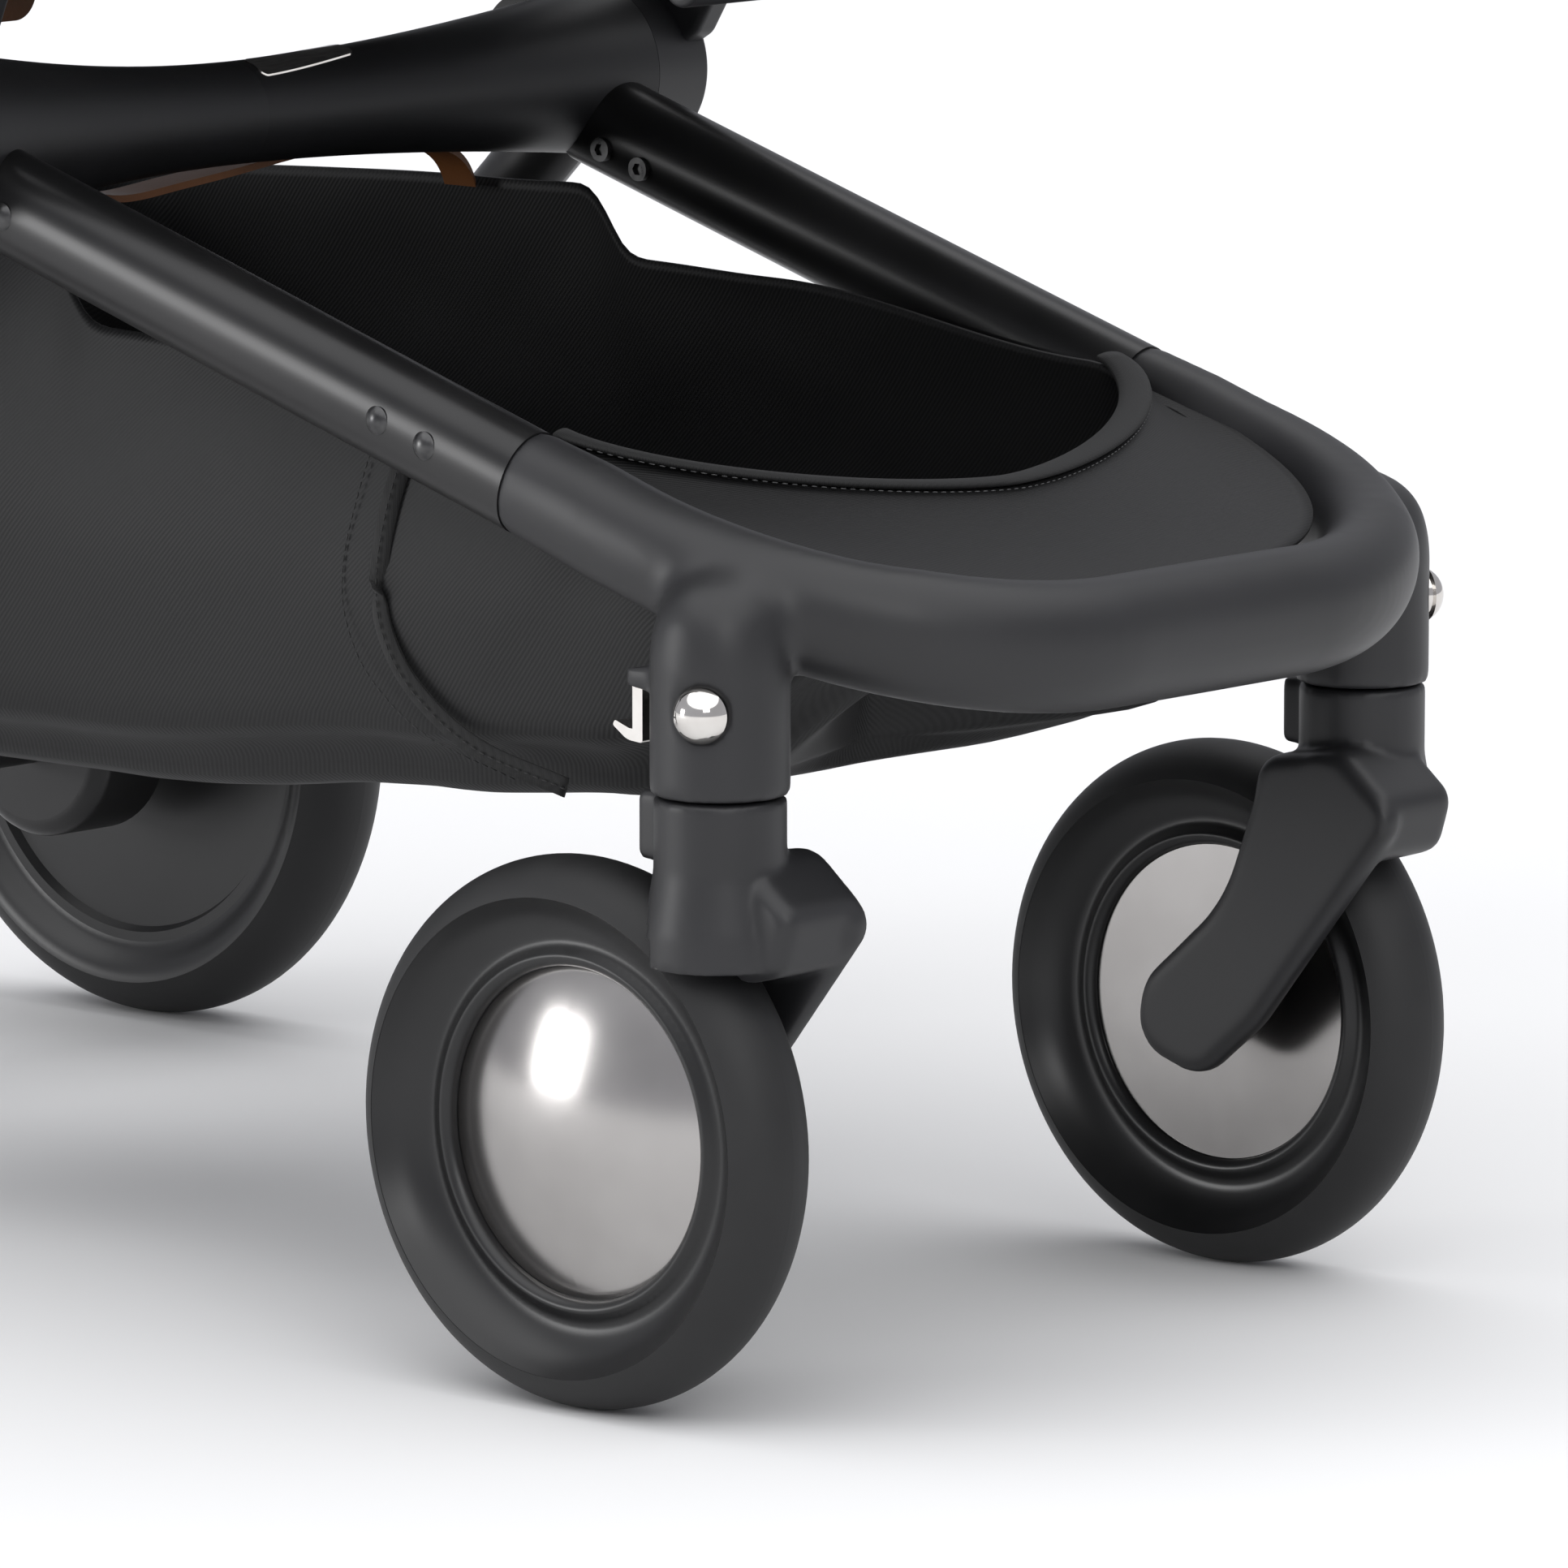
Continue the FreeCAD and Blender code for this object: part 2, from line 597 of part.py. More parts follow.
def brake_pedal():
    """Foot bar across the axle tube: a collar with a broad tread behind it."""
    collar = x_ring(AXLE_TUBE_R + 5, AXLE_TUBE_R + FIT, -38, 38, WHEELBASE, REAR_Z)
    tread = yz_plate([(WHEELBASE + 12, REAR_Z - 6), (WHEELBASE + 50, REAR_Z + 12), (WHEELBASE + 88, REAR_Z + 14),
                      (WHEELBASE + 88, REAR_Z + 22), (WHEELBASE + 48, REAR_Z + 21), (WHEELBASE + 8, REAR_Z + 8)],
                     -38, 38, [4, 12, 3, 3, 12, 4])
    tread = soften(tread, 2.5, lambda e: e.BoundBox.XLength < 0.1)
    bore = x_rod(AXLE_TUBE_R + FIT, -40, 40, WHEELBASE, REAR_Z)
    return fuse([collar, tread]).cut(bore)


# ---------------------------------------------------------------- handle
HANDLE_MID_X = (HANDLE_IN + HANDLE_OUT) / 2
SLEEVE_R = 9.2
INNER_R = 7.2


def handle_dir():
    return V(0, GRIP_Y - PIVOT_Y, GRIP_Z - PIVOT_Z).normalize()


def handle_sleeve():
    """Lower side tube with the pivot knuckle; the upper handle slides in it."""
    pivot = V(HANDLE_MID_X, PIVOT_Y, PIVOT_Z)
    start = pivot + handle_dir() * 14
    tube = Part.makeCylinder(SLEEVE_R, SLEEVE_LEN, start, handle_dir())
    knuckle = soften(x_rod(KNUCKLE_R, HANDLE_IN, HANDLE_OUT, PIVOT_Y, PIVOT_Z), 3)
    collar = Part.makeCylinder(SLEEVE_R + 2.6, 26, start + handle_dir() * (SLEEVE_LEN - 26), handle_dir())
    collar = soften(collar, 1.2)
    whole = fuse([tube, knuckle, collar])
    bore = Part.makeCylinder(INNER_R + FIT, SLEEVE_LEN, start + handle_dir() * 40, handle_dir())
    return whole.cut(bore).cut(x_rod(PIVOT_PIN_R, HANDLE_IN - 1, HANDLE_OUT + 1, PIVOT_Y, PIVOT_Z))


SLIDE_TRAVEL = 80.0
HANDLE_TUBE_LOW = 14 + 40 + SLIDE_TRAVEL + 12


def handle_bow_points():
    low = V(HANDLE_MID_X, PIVOT_Y, PIVOT_Z) + handle_dir() * HANDLE_TUBE_LOW
    corner = V(HANDLE_MID_X, GRIP_Y, GRIP_Z)
    other = V(-corner.x, corner.y, corner.z)
    low_other = V(-low.x, low.y, low.z)
    return [low, corner, other, low_other]


def handle_bar():
    bar = tube_along(handle_bow_points(), [HANDLE_BEND_R, HANDLE_BEND_R], INNER_R, 1.5)
    return bar.cut(handle_button_room())


def handle_grip():
    """Padded sleeve round the bend and the cross run of the handle."""
    reach = handle_dir() * 95
    corner = handle_bow_points()[1]
    other = handle_bow_points()[2]
    points = [corner - reach, corner, other, other - reach]
    pad = tube_along(points, [HANDLE_BEND_R, HANDLE_BEND_R], 14.5)
    core = tube_along(points, [HANDLE_BEND_R, HANDLE_BEND_R], INNER_R)
    return pad.cut(core).cut(handle_button_room())


def handle_button_room():
    """Slot in the middle of the grip that the release button sinks into."""
    up = V(0, -handle_dir().z, handle_dir().y)
    room = Part.makeBox(32.6, 12.6, 16, V(-16.3, -6.3, 0))
    room.rotate(V(0, 0, 0), X_AXIS, math.degrees(math.atan2(-up.y, up.z)))
    room.translate(V(0, GRIP_Y, GRIP_Z) + up * 3.0)
    return room


def handle_button():
    up = V(0, -handle_dir().z, handle_dir().y)
    key = Part.makeBox(32, 12, 9.5, V(-16, -6, 0))
    key = soften(key, 2.0, lambda e: e.BoundBox.ZMin > 9.4)
    key.rotate(V(0, 0, 0), X_AXIS, math.degrees(math.atan2(-up.y, up.z)))
    key.translate(V(0, GRIP_Y, GRIP_Z) + up * 7.6)
    return key


# ---------------------------------------------------------------- seat
SEAT_HALF = 152.0
SIDE_IN = 168.0
SIDE_OUT = 186.0
BUMPER_Y = 300.0
BUMPER_Z = 700.0


def seat_side():
    """Side bracket: sits on the seat post, carries rail, armrest and backrest hinge."""
    outline = [(238, 516), (300, 516), (352, 500), (SEAT_HINGE_Y + 16, SEAT_HINGE_Z - 26),
               (SEAT_HINGE_Y + 22, SEAT_HINGE_Z + 16), (SEAT_HINGE_Y - 30, SEAT_HINGE_Z + 32),
               (345, 600), (BUMPER_Y + 20, BUMPER_Z + 16), (BUMPER_Y - 18, BUMPER_Z + 16),
               (BUMPER_Y - 14, 640), (262, 588), (FOOT_Y + 6, FOOT_Z + 12), (FOOT_Y + 2, FOOT_Z - 12), (180, 562)]
    radii = [4, 4, 30, 22, 22, 30, 60, 16, 16, 60, 50, 11, 11, 60]
    plate = yz_plate(outline, SIDE_IN, SIDE_OUT, radii)
    plate = soften(plate, 3.5, lambda e: e.BoundBox.XLength < 0.1)
    for y, z in ((SEAT_HINGE_Y, SEAT_HINGE_Z), (FOOT_Y + 14, FOOT_Z), (BUMPER_Y, BUMPER_Z)):
        plate = plate.cut(x_rod(PIN_R, SIDE_IN - 1, SIDE_IN + 12, y, z))
    return plate


PIN_R = 4.0


def seat_base():
    """Base cushion and the soft pouch under it, as one closed solid."""
    half = SIDE_IN - 1.0
    outline = [(92, 566), (89, 614), (250, 574), (SEAT_HINGE_Y - 24, 548), (SEAT_HINGE_Y - 2, SEAT_HINGE_Z - 24),
               (SEAT_HINGE_Y + 34, SEAT_HINGE_Z - 60), (SEAT_HINGE_Y + 8, 437), (390, 470), (230, 530)]
    radii = [14, 18, 40, 10, 10, 16, 18, 60, 60]
    base = yz_plate(outline, -half, half, radii)
    base = soften(base, 6, lambda e: e.BoundBox.XLength < 0.1)
    for side in (1, -1):
        x0 = min(side * (BACK_FRAME_X - 14), side * SIDE_IN)
        notch = Part.makeBox(SIDE_IN - BACK_FRAME_X + 14, 120, 170, V(x0, SEAT_HINGE_Y - 26, 420))
        base = base.cut(notch)
    return base


def back_point(along, square=0.0):
    """Point on the backrest's middle line, 'square' mm in front of it."""
    lean = V(0, math.sin(BACK_LEAN), math.cos(BACK_LEAN))
    front = V(0, -math.cos(BACK_LEAN), math.sin(BACK_LEAN))
    return V(0, SEAT_HINGE_Y, SEAT_HINGE_Z) + lean * along + front * square


def on_back(outline, x0, x1, radii):
    return yz_plate([(back_point(a, s).y, back_point(a, s).z) for a, s in outline], x0, x1, radii)


BACK_FRAME_X = 156.0
BACK_FRAME_R = 7.5


def backrest_frame():
    """Inverted-U tube with a hinge boss at each foot."""
    foot = back_point(0)
    foot.x = BACK_FRAME_X
    top = back_point(BACK_LEN)
    top.x = BACK_FRAME_X
    points = [foot, top, V(-top.x, top.y, top.z), V(-foot.x, foot.y, foot.z)]
    bow = tube_along(points, [60, 60], BACK_FRAME_R)
    bosses = [x_rod(12, BACK_FRAME_X - 8, SIDE_IN - GAP, SEAT_HINGE_Y, SEAT_HINGE_Z),
              x_rod(12, -SIDE_IN + GAP, -BACK_FRAME_X + 8, SEAT_HINGE_Y, SEAT_HINGE_Z),
              x_rod(PIN_R - FIT, SIDE_IN - 2, SIDE_IN + 10, SEAT_HINGE_Y, SEAT_HINGE_Z),
              x_rod(PIN_R - FIT, -SIDE_IN - 10, -SIDE_IN + 2, SEAT_HINGE_Y, SEAT_HINGE_Z)]
    pivots = []
    for side in (1, -1):
        x0, x1 = sorted((side * (BACK_FRAME_X - 4), side * (CANOPY_IN - GAP)))
        pivots.append(x_rod(11, x0, x1, canopy_pivot().y, canopy_pivot().z))
        x0, x1 = sorted((side * (BACK_FRAME_X), side * (CANOPY_IN + 7)))
        pivots.append(x_rod(PIN_R - FIT, x0, x1, canopy_pivot().y, canopy_pivot().z))
    return fuse([bow] + bosses + pivots)


def backrest_pad():
    """Back cushion between the frame tubes, rounded at its top corners."""
    half = BACK_FRAME_X - 9
    low, high = back_point(34, -6), back_point(BACK_LEN - 12, -6)
    corners = [V(0, low.y, low.z), V(half, low.y, low.z), V(half, high.y, high.z),
               V(-half, high.y, high.z), V(-half, low.y, low.z), V(0, low.y, low.z)]
    face = Part.Face(rounded_path(corners, [24, 54, 54, 24]))
    pad = face.extrude(back_point(0, 40) - back_point(0, 0))
    return soften(pad, 6)


def canopy_pivot():
    return back_point(CANOPY_UP)


CANOPY_IN = 176.0
CANOPY_OUT = 190.0
CANOPY_WALL = 2.0


def canopy_shell(radius, half_width, start_deg, end_deg):
    """Hood sector: closed on both sides, open towards the seat.

    Angles are about the canopy pivot, measured from straight up, positive
    towards the front of the stroller.
    """
    pivot = canopy_pivot()
    outer = soften(x_rod(radius, -half_width, half_width, pivot.y, pivot.z), 26)
    inner_r = radius - CANOPY_WALL
    inner_w = half_width - CANOPY_WALL
    inner = soften(x_rod(inner_r, -inner_w, inner_w, pivot.y, pivot.z), 24)
    shell = outer.cut(inner)
    reach = 2 * CANOPY_R
    steps = 6
    fan = [(pivot.y, pivot.z)]
    for k in range(steps + 1):
        a = math.radians(start_deg + (end_deg - start_deg) * k / steps)
        fan.append((pivot.y - reach * math.sin(a), pivot.z + reach * math.cos(a)))
    sector = yz_plate(fan, -half_width - 5, half_width + 5)
    return shell.common(sector)


def canopy_rear():
    """Rear gores, fixed to the top of the backrest."""
    shell = canopy_shell(CANOPY_R, CANOPY_OUT, -74, 14)
    boss = x_rod(16, -CANOPY_OUT - 1, CANOPY_OUT + 1, canopy_pivot().y, canopy_pivot().z)
    return shell.cut(boss)


def canopy_front():
    """Front gores and visor, nested inside the rear ones, with two hinge discs."""
    shell = canopy_shell(CANOPY_R - 3.4, CANOPY_OUT - 3.4, -12, 78)
    pivot = canopy_pivot()
    discs = []
    for side in (1, -1):
        x0, x1 = sorted((side * CANOPY_IN, side * (CANOPY_OUT - 3.4)))
        discs.append(x_rod(15, x0, x1, pivot.y, pivot.z))
    hood = fuse([shell] + discs)
    return hood.cut(x_rod(PIN_R, -CANOPY_OUT, CANOPY_OUT, pivot.y, pivot.z))


def bumper_bar():
    """Padded bar across the front of the seat, hinged at the armrests."""
    x_side = SIDE_IN - GAP - 9.0
    root = V(x_side, BUMPER_Y, BUMPER_Z)
    corner = V(x_side, 70, BUMPER_Z + 8)
    points = [root, corner, V(-corner.x, corner.y, corner.z), V(-root.x, root.y, root.z)]
    bar = tube_along(points, [85, 85], 9.0)
    pins = []
    for side in (1, -1):
        x0, x1 = sorted((side * x_side, side * (SIDE_IN + 9)))
        pins.append(x_rod(PIN_R - FIT, x0, x1, BUMPER_Y, BUMPER_Z))
        x0, x1 = sorted((side * (x_side - 9.6), side * (SIDE_IN - GAP)))
        pins.append(x_rod(11.0, x0, x1, BUMPER_Y, BUMPER_Z))
    return fuse([bar] + pins)


def footrest():
    """Board under the child's calves, hinged at the front of the seat rails."""
    y0 = FOOT_Y + 14
    z0 = FOOT_Z
    slope = V(0, -math.cos(math.radians(48)), -math.sin(math.radians(48)))
    up = V(0, -slope.z, slope.y) * -1
    corners = []
    for a, s in ((14, -7), (14, 9), (150, 9), (150, -7)):
        at = V(0, y0, z0) + slope * a + up * s
        corners.append((at.y, at.z))
    board = yz_plate(corners, -SEAT_HALF, SEAT_HALF, [5, 5, 7, 7])
    board = soften(board, 3, lambda e: e.BoundBox.XLength < 0.1)
    arms = []
    for side in (1, -1):
        x0, x1 = sorted((side * (SEAT_HALF - 6), side * (SIDE_IN - GAP)))
        first = V(0, y0, z0) - slope * 7
        last = V(0, y0, z0) + slope * 60
        corners = [(p.y, p.z) for p in (first - up * 7, last - up * 6, last + up * 6, first + up * 7)]
        arms.append(yz_plate(corners, x0, x1, [6, 4, 4, 6]))
        x0, x1 = sorted((side * (SIDE_IN - 4), side * (SIDE_IN + 10)))
        arms.append(x_rod(PIN_R - FIT, x0, x1, y0, z0))
    return fuse([board] + arms)


def seat_harness():
    """Crotch strap and buckle in front of the base cushion, shoulder belts on the back."""
    belts = []
    for side in (1, -1):
        x = side * 48
        belts.append(on_back([(60, 34.6), (60, 36.6), (400, 36.6), (400, 34.6)], x - 14, x + 14, [0.5] * 4))
    return Part.makeCompound(belts)


def buckle():
    body = on_back([(92, 37.2), (92, 49), (134, 49), (134, 37.2)], -24, 24, [3, 5, 5, 3])
    room = on_back([(103, 44), (103, 60), (123, 60), (123, 44)], -10.2, 10.2, [0.5, 3, 3, 0.5])
    return body.cut(room)


def buckle_button():
    return on_back([(103.4, 46.2), (103.4, 50.6), (122.6, 50.6), (122.6, 46.2)], -9.8, 9.8, [1] * 4)


# ---------------------------------------------------------------- basket and strap
BASKET_HALF = 141.0
BASKET_FLOOR = 192.0
BASKET_REAR = 560.0


def basket():
    """Fabric tub hung between the leg tubes: walls, floor and the front shelf."""
    outer = basket_outer(0.0)
    inner = basket_outer(3.0)
    inner.translate(V(0, 0, 0.01))
    tub = outer.cut(inner)
    return tub


def basket_outer(inset):
    """Closed side profile pushed across, its front rounded in plan by the bow."""
    floor = BASKET_FLOOR + inset
    rear = BASKET_REAR - inset
    extra = 60.0 if inset else 0.0
    side = [(-96 + inset * 2, 259 + inset), (-96 + inset * 2, 270 + extra), (LEG_SEAM_Y, 300 + extra),
            (190, 345 + extra), (265, 345 + extra), (330, 372 + extra), (rear, 372 + extra),
            (rear, floor + 20), (rear - 40, floor - 10), (330, floor - 10), (20, floor)]
    solid = yz_plate(side, -BASKET_HALF + inset, BASKET_HALF - inset)
    plan = [V(-200, 700, 0), V(-200, 34, 0)]
    bend = 96.0 - inset
    centre = V(BASKET_HALF - inset - bend, -96 + inset * 2 + bend, 0)
    half = BASKET_HALF - inset
    front = -96 + inset * 2
    points = [V(half, 700, 0), V(half, front, 0), V(-half, front, 0), V(-half, 700, 0)]
    wire = rounded_path(points, [bend, bend])
    closing = Part.LineSegment(points[-1], points[0]).toShape()
    column = Part.Face(Part.Wire(wire.Edges + [closing])).extrude(V(0, 0, 600))
    return solid.common(column)


STRAP_FRONT_Y = 333.0
STRAP_WIDTH = 16.0
STRAP_THICK = 2.6


def pull_strap():
    """Leather pull strap that hangs under the cross member, as one swept band."""
    line = [(-100, 389), (-77, 382), (-56, 377.6), (-28, 379.2), (0, 382), (30, 385.6), (70, 388), (104, 385),
            (124, 379), (132, 368)]
    edges = []
    for lift in (0.0, STRAP_THICK):
        curve = Part.BSplineCurve()
        curve.interpolate([V(x, STRAP_FRONT_Y, z + lift) for x, z in line])
        edges.append(curve.toShape())
    for x, z in (line[0], line[-1]):
        edges.append(Part.LineSegment(V(x, STRAP_FRONT_Y, z), V(x, STRAP_FRONT_Y, z + STRAP_THICK)).toShape())
    band = Part.Face(Part.Wire(Part.__sortEdges__(edges))).extrude(V(0, STRAP_WIDTH, 0))
    pod = cross_member()
    band = band.cut(pod).cut(mirrored(pod))
    return max(band.Solids, key=lambda solid: solid.Volume)


PULL_TAB_HALF = 15.0


def pull_tab():
    """Leather tab sewn under the middle of the seat, folded round a rod, with a rounded end."""
    y = SEAT_HINGE_Y + 6
    low = 432.0
    corners = [V(0, y, low), V(PULL_TAB_HALF, y, low), V(PULL_TAB_HALF, y, low + 40),
               V(-PULL_TAB_HALF, y, low + 40), V(-PULL_TAB_HALF, y, low), V(0, y, low)]
    tab = Part.Face(rounded_path(corners, [11, 1, 1, 11])).extrude(V(0, 3, 0))
    return tab.cut(seat_base())


os.makedirs("parts", exist_ok=True)
save("front_bow", front_bow())
save_pair("leg_tube", leg_tube())
save_pair("cross_member", cross_member())
save("trim_plate", trim_plate())
save_pair("hub_cover", hub_cover())
save_pair("seat_post", seat_post())
save("tube_rivets", tube_rivets())
save("hub_screws", hub_screws())
save("pivot_pins", pivot_pins())
for button_side, word in ((1, "right"), (-1, "left")):
    save("caster_button_" + word, caster_button(button_side))
for caster_side, word in ((1, "right"), (-1, "left")):
    save("caster_fork_" + word, to_side(caster_fork(), caster_side))
    save("front_axle_" + word, to_side(front_axle(), caster_side))
    save("front_tyre_" + word, to_side(front_tyre_body(), caster_side))
    save("front_rim_" + word, to_side(front_rim_body(), caster_side))
    save("front_domes_" + word, to_side(front_domes(), caster_side))
    save("swivel_lock_" + word, to_side(lock_lever(), caster_side))
    save("rear_tyre_" + word, to_rear(rear_tyre_body(), caster_side))
    save("rear_rim_" + word, to_rear(rear_rim_body(), caster_side))
    save("rear_cap_" + word, to_rear(rear_cap(), caster_side))
save_pair("rear_leg", rear_leg())
save("rear_axle_tube", rear_axle_tube())
save_pair("rear_axle_pin", rear_axle_pin())
save("brake_pedal", brake_pedal())
save_pair("handle_sleeve", handle_sleeve())
save("handle_bar", handle_bar())
save("handle_grip", handle_grip())
save("handle_button", handle_button())
save_pair("seat_side", seat_side())
save("seat_base", seat_base())
save("backrest_frame", backrest_frame())
save("backrest_pad", backrest_pad())
save("canopy_rear", canopy_rear())
save("canopy_front", canopy_front())
save("bumper_bar", bumper_bar())
save("footrest", footrest())
save("shoulder_belts", seat_harness())
save("buckle", buckle())
save("buckle_button", buckle_button())
save("basket", basket())
save("pull_strap", pull_strap())
save("pull_tab", pull_tab())
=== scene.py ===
# %% [markdown]
# # A folding baby stroller, finished piece by piece
# The measured frame of the stroller already exists: wheels, legs, seat brackets and
# hinges, each a named node. This lesson dresses that frame. Hard parts mostly keep their
# own shape and get a better surface; cloth, leather and padding are built here, because
# they are soft shapes that a drawing of solids can only stand in for.

import math
import bmesh
import bpy
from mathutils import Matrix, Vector, noise


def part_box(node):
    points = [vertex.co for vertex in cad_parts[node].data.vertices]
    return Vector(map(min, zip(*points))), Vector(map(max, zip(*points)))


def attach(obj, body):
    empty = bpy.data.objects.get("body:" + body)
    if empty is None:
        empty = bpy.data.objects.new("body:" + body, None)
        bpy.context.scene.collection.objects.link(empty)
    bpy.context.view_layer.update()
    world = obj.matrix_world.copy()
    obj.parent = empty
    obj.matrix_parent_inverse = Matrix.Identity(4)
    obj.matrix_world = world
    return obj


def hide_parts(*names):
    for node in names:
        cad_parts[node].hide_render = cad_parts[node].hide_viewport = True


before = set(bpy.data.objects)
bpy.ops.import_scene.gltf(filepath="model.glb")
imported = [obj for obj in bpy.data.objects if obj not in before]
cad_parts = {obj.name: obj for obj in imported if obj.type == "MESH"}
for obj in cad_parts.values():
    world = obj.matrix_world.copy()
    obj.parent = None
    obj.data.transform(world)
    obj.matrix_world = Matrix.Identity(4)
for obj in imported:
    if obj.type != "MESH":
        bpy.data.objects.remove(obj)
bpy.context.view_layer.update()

# %% [markdown]
# Sizes are easiest to read in millimetres from the spot on the floor below the front
# axles. One small helper turns such a spot into the frame's metres.

# %% A helper for places
AXLE_TO_MIDDLE = -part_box("front_axle_right")[0].y / 2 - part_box("front_axle_right")[1].y / 2


def spot(x, y, z):
    return Vector((x / 1000, y / 1000 - AXLE_TO_MIDDLE, z / 1000))


print("front axle to the middle of the footprint", round(AXLE_TO_MIDDLE, 4), "m")

# %% [markdown]
# ## Camera and studio
# A long lens from the front left, a little above the wheels, keeps the tubes nearly
# parallel. The floor is one wide pale plane. A broad sun stands in for a ceiling of soft
# boxes, a grey room gives the bright metal something to mirror, and one low soft box at
# the side puts the glow on the wheel domes.

# %% Camera
VIEW_TURN, VIEW_RISE, VIEW_FAR = math.radians(-48.242), math.radians(9.08), 3.9068
looked_at = Vector((-0.1806, -0.463, 0.2262))
towards_camera = Vector((math.sin(VIEW_TURN) * math.cos(VIEW_RISE),
                         -math.cos(VIEW_TURN) * math.cos(VIEW_RISE), math.sin(VIEW_RISE)))
camera = bpy.data.objects.new("studio_camera", bpy.data.cameras.new("studio_camera"))
bpy.context.scene.collection.objects.link(camera)
camera.data.lens, camera.data.sensor_width = 271.2, 36.0
camera.location = looked_at + towards_camera * VIEW_FAR
camera.rotation_euler = (math.pi / 2 - VIEW_RISE, 0, VIEW_TURN)
bpy.context.scene.camera = camera
print("camera at", [round(v, 3) for v in camera.location])

# %% Floor and lights
bpy.context.scene.view_settings.view_transform = "Standard"
floor_mesh = bpy.data.meshes.new("studio_floor")
floor_mesh.from_pydata([(-30, -30, 0), (30, -30, 0), (30, 30, 0), (-30, 30, 0)], [], [(0, 1, 2, 3)])
floor = bpy.data.objects.new("studio_floor", floor_mesh)
bpy.context.scene.collection.objects.link(floor)
room = bpy.data.worlds.new("studio_room")
bpy.context.scene.world = room
room.use_nodes = True
room.node_tree.nodes["Background"].inputs["Color"].default_value = (0.93, 0.94, 1.0, 1)
room.node_tree.nodes["Background"].inputs["Strength"].default_value = 0.50


def lamp(name, kind, power, place, aim, size):
    data = bpy.data.lights.new(name, kind)
    data.energy = power
    if kind == "SUN":
        data.angle = math.radians(size)
    else:
        data.shape, data.size, data.size_y = "RECTANGLE", size[0], size[1]
    made = bpy.data.objects.new(name, data)
    made.location = place
    made.rotation_euler = (Vector(aim) - Vector(place)).to_track_quat("-Z", "Y").to_euler()
    bpy.context.scene.collection.objects.link(made)
    return made


lamp("ceiling", "SUN", 2.6, (-0.5, -0.3, 3), (0, 0.1, 0), 100)
lamp("side_box", "AREA", 24, (-2.45, 1.75, 0.62), (-0.17, -0.36, 0.12), (0.9, 0.9))
lamp("front_box", "AREA", 20, (-2.2, -3.4, 1.9), (-0.1, -0.2, 0.3), (1.6, 1.0))

# %% [markdown]
# ## Finishes
# Every finish starts from one shader, and its small variations are noise measured in
# millimetres on the object itself, so the grain keeps its size on big and small pieces.
# These helpers each add one node, which keeps the recipes below short.

# %% Helpers for recipes
def new_finish(name, roughness=0.5, metallic=0.0, specular=0.5):
    made = bpy.data.materials.new(name)
    made.use_nodes = True
    shader = made.node_tree.nodes["Principled BSDF"]
    shader.inputs["Roughness"].default_value = roughness
    shader.inputs["Metallic"].default_value = metallic
    shader.inputs["Specular IOR Level"].default_value = specular
    return made, made.node_tree, shader


def place_on(tree, stretch=(1, 1, 1), turn=(0, 0, 0), kind="Object"):
    place = tree.nodes.new("ShaderNodeMapping")
    place.inputs["Scale"].default_value = stretch
    place.inputs["Rotation"].default_value = turn
    tree.links.new(tree.nodes.new("ShaderNodeTexCoord").outputs[kind], place.inputs["Vector"])
    return place.outputs["Vector"]


def cloud(tree, where, size_mm, detail=2.0):
    made = tree.nodes.new("ShaderNodeTexNoise")
    made.inputs["Scale"].default_value = 1000 / size_mm
    made.inputs["Detail"].default_value = detail
    tree.links.new(where, made.inputs["Vector"])
    return made.outputs["Fac"]


def cells(tree, where, size_mm, kind="F1"):
    made = tree.nodes.new("ShaderNodeTexVoronoi")
    made.feature = kind
    made.inputs["Scale"].default_value = 1000 / size_mm
    tree.links.new(where, made.inputs["Vector"])
    return made.outputs["Distance"]


def ribs_of(tree, where, pitch_mm, way="X", wobble=0.0):
    made = tree.nodes.new("ShaderNodeTexWave")
    made.bands_direction = way
    factor = 17.32 if way == "DIAGONAL" else 20.0
    made.inputs["Scale"].default_value = 2 * math.pi / (factor * pitch_mm / 1000)
    made.inputs["Distortion"].default_value = wobble
    made.inputs["Detail"].default_value = 1.0
    tree.links.new(where, made.inputs["Vector"])
    return made.outputs["Fac"]


def between(tree, value, low, high, start=0.0, stop=1.0):
    made = tree.nodes.new("ShaderNodeMapRange")
    for key, number in (("From Min", start), ("From Max", stop), ("To Min", low), ("To Max", high)):
        made.inputs[key].default_value = number
    tree.links.new(value, made.inputs["Value"])
    return made.outputs["Result"]


def blend_colours(tree, value, first, second, start=0.3, stop=0.7):
    made = tree.nodes.new("ShaderNodeValToRGB")
    made.color_ramp.elements[0].position, made.color_ramp.elements[1].position = start, stop
    made.color_ramp.elements[0].color = (*first, 1)
    made.color_ramp.elements[1].color = (*second, 1)
    tree.links.new(value, made.inputs["Fac"])
    return made.outputs["Color"]


def together(tree, first, second, how="MULTIPLY"):
    made = tree.nodes.new("ShaderNodeMath")
    made.operation = how
    tree.links.new(first, made.inputs[0])
    tree.links.new(second, made.inputs[1])
    return made.outputs[0]


def relief(tree, shader, height, depth_mm, strength=1.0, over=None):
    made = tree.nodes.new("ShaderNodeBump")
    made.inputs["Strength"].default_value = strength
    made.inputs["Distance"].default_value = depth_mm / 1000
    tree.links.new(height, made.inputs["Height"])
    if over is not None:
        tree.links.new(over, made.inputs["Normal"])
    tree.links.new(made.outputs["Normal"], shader.inputs["Normal"])
    return made.outputs["Normal"]


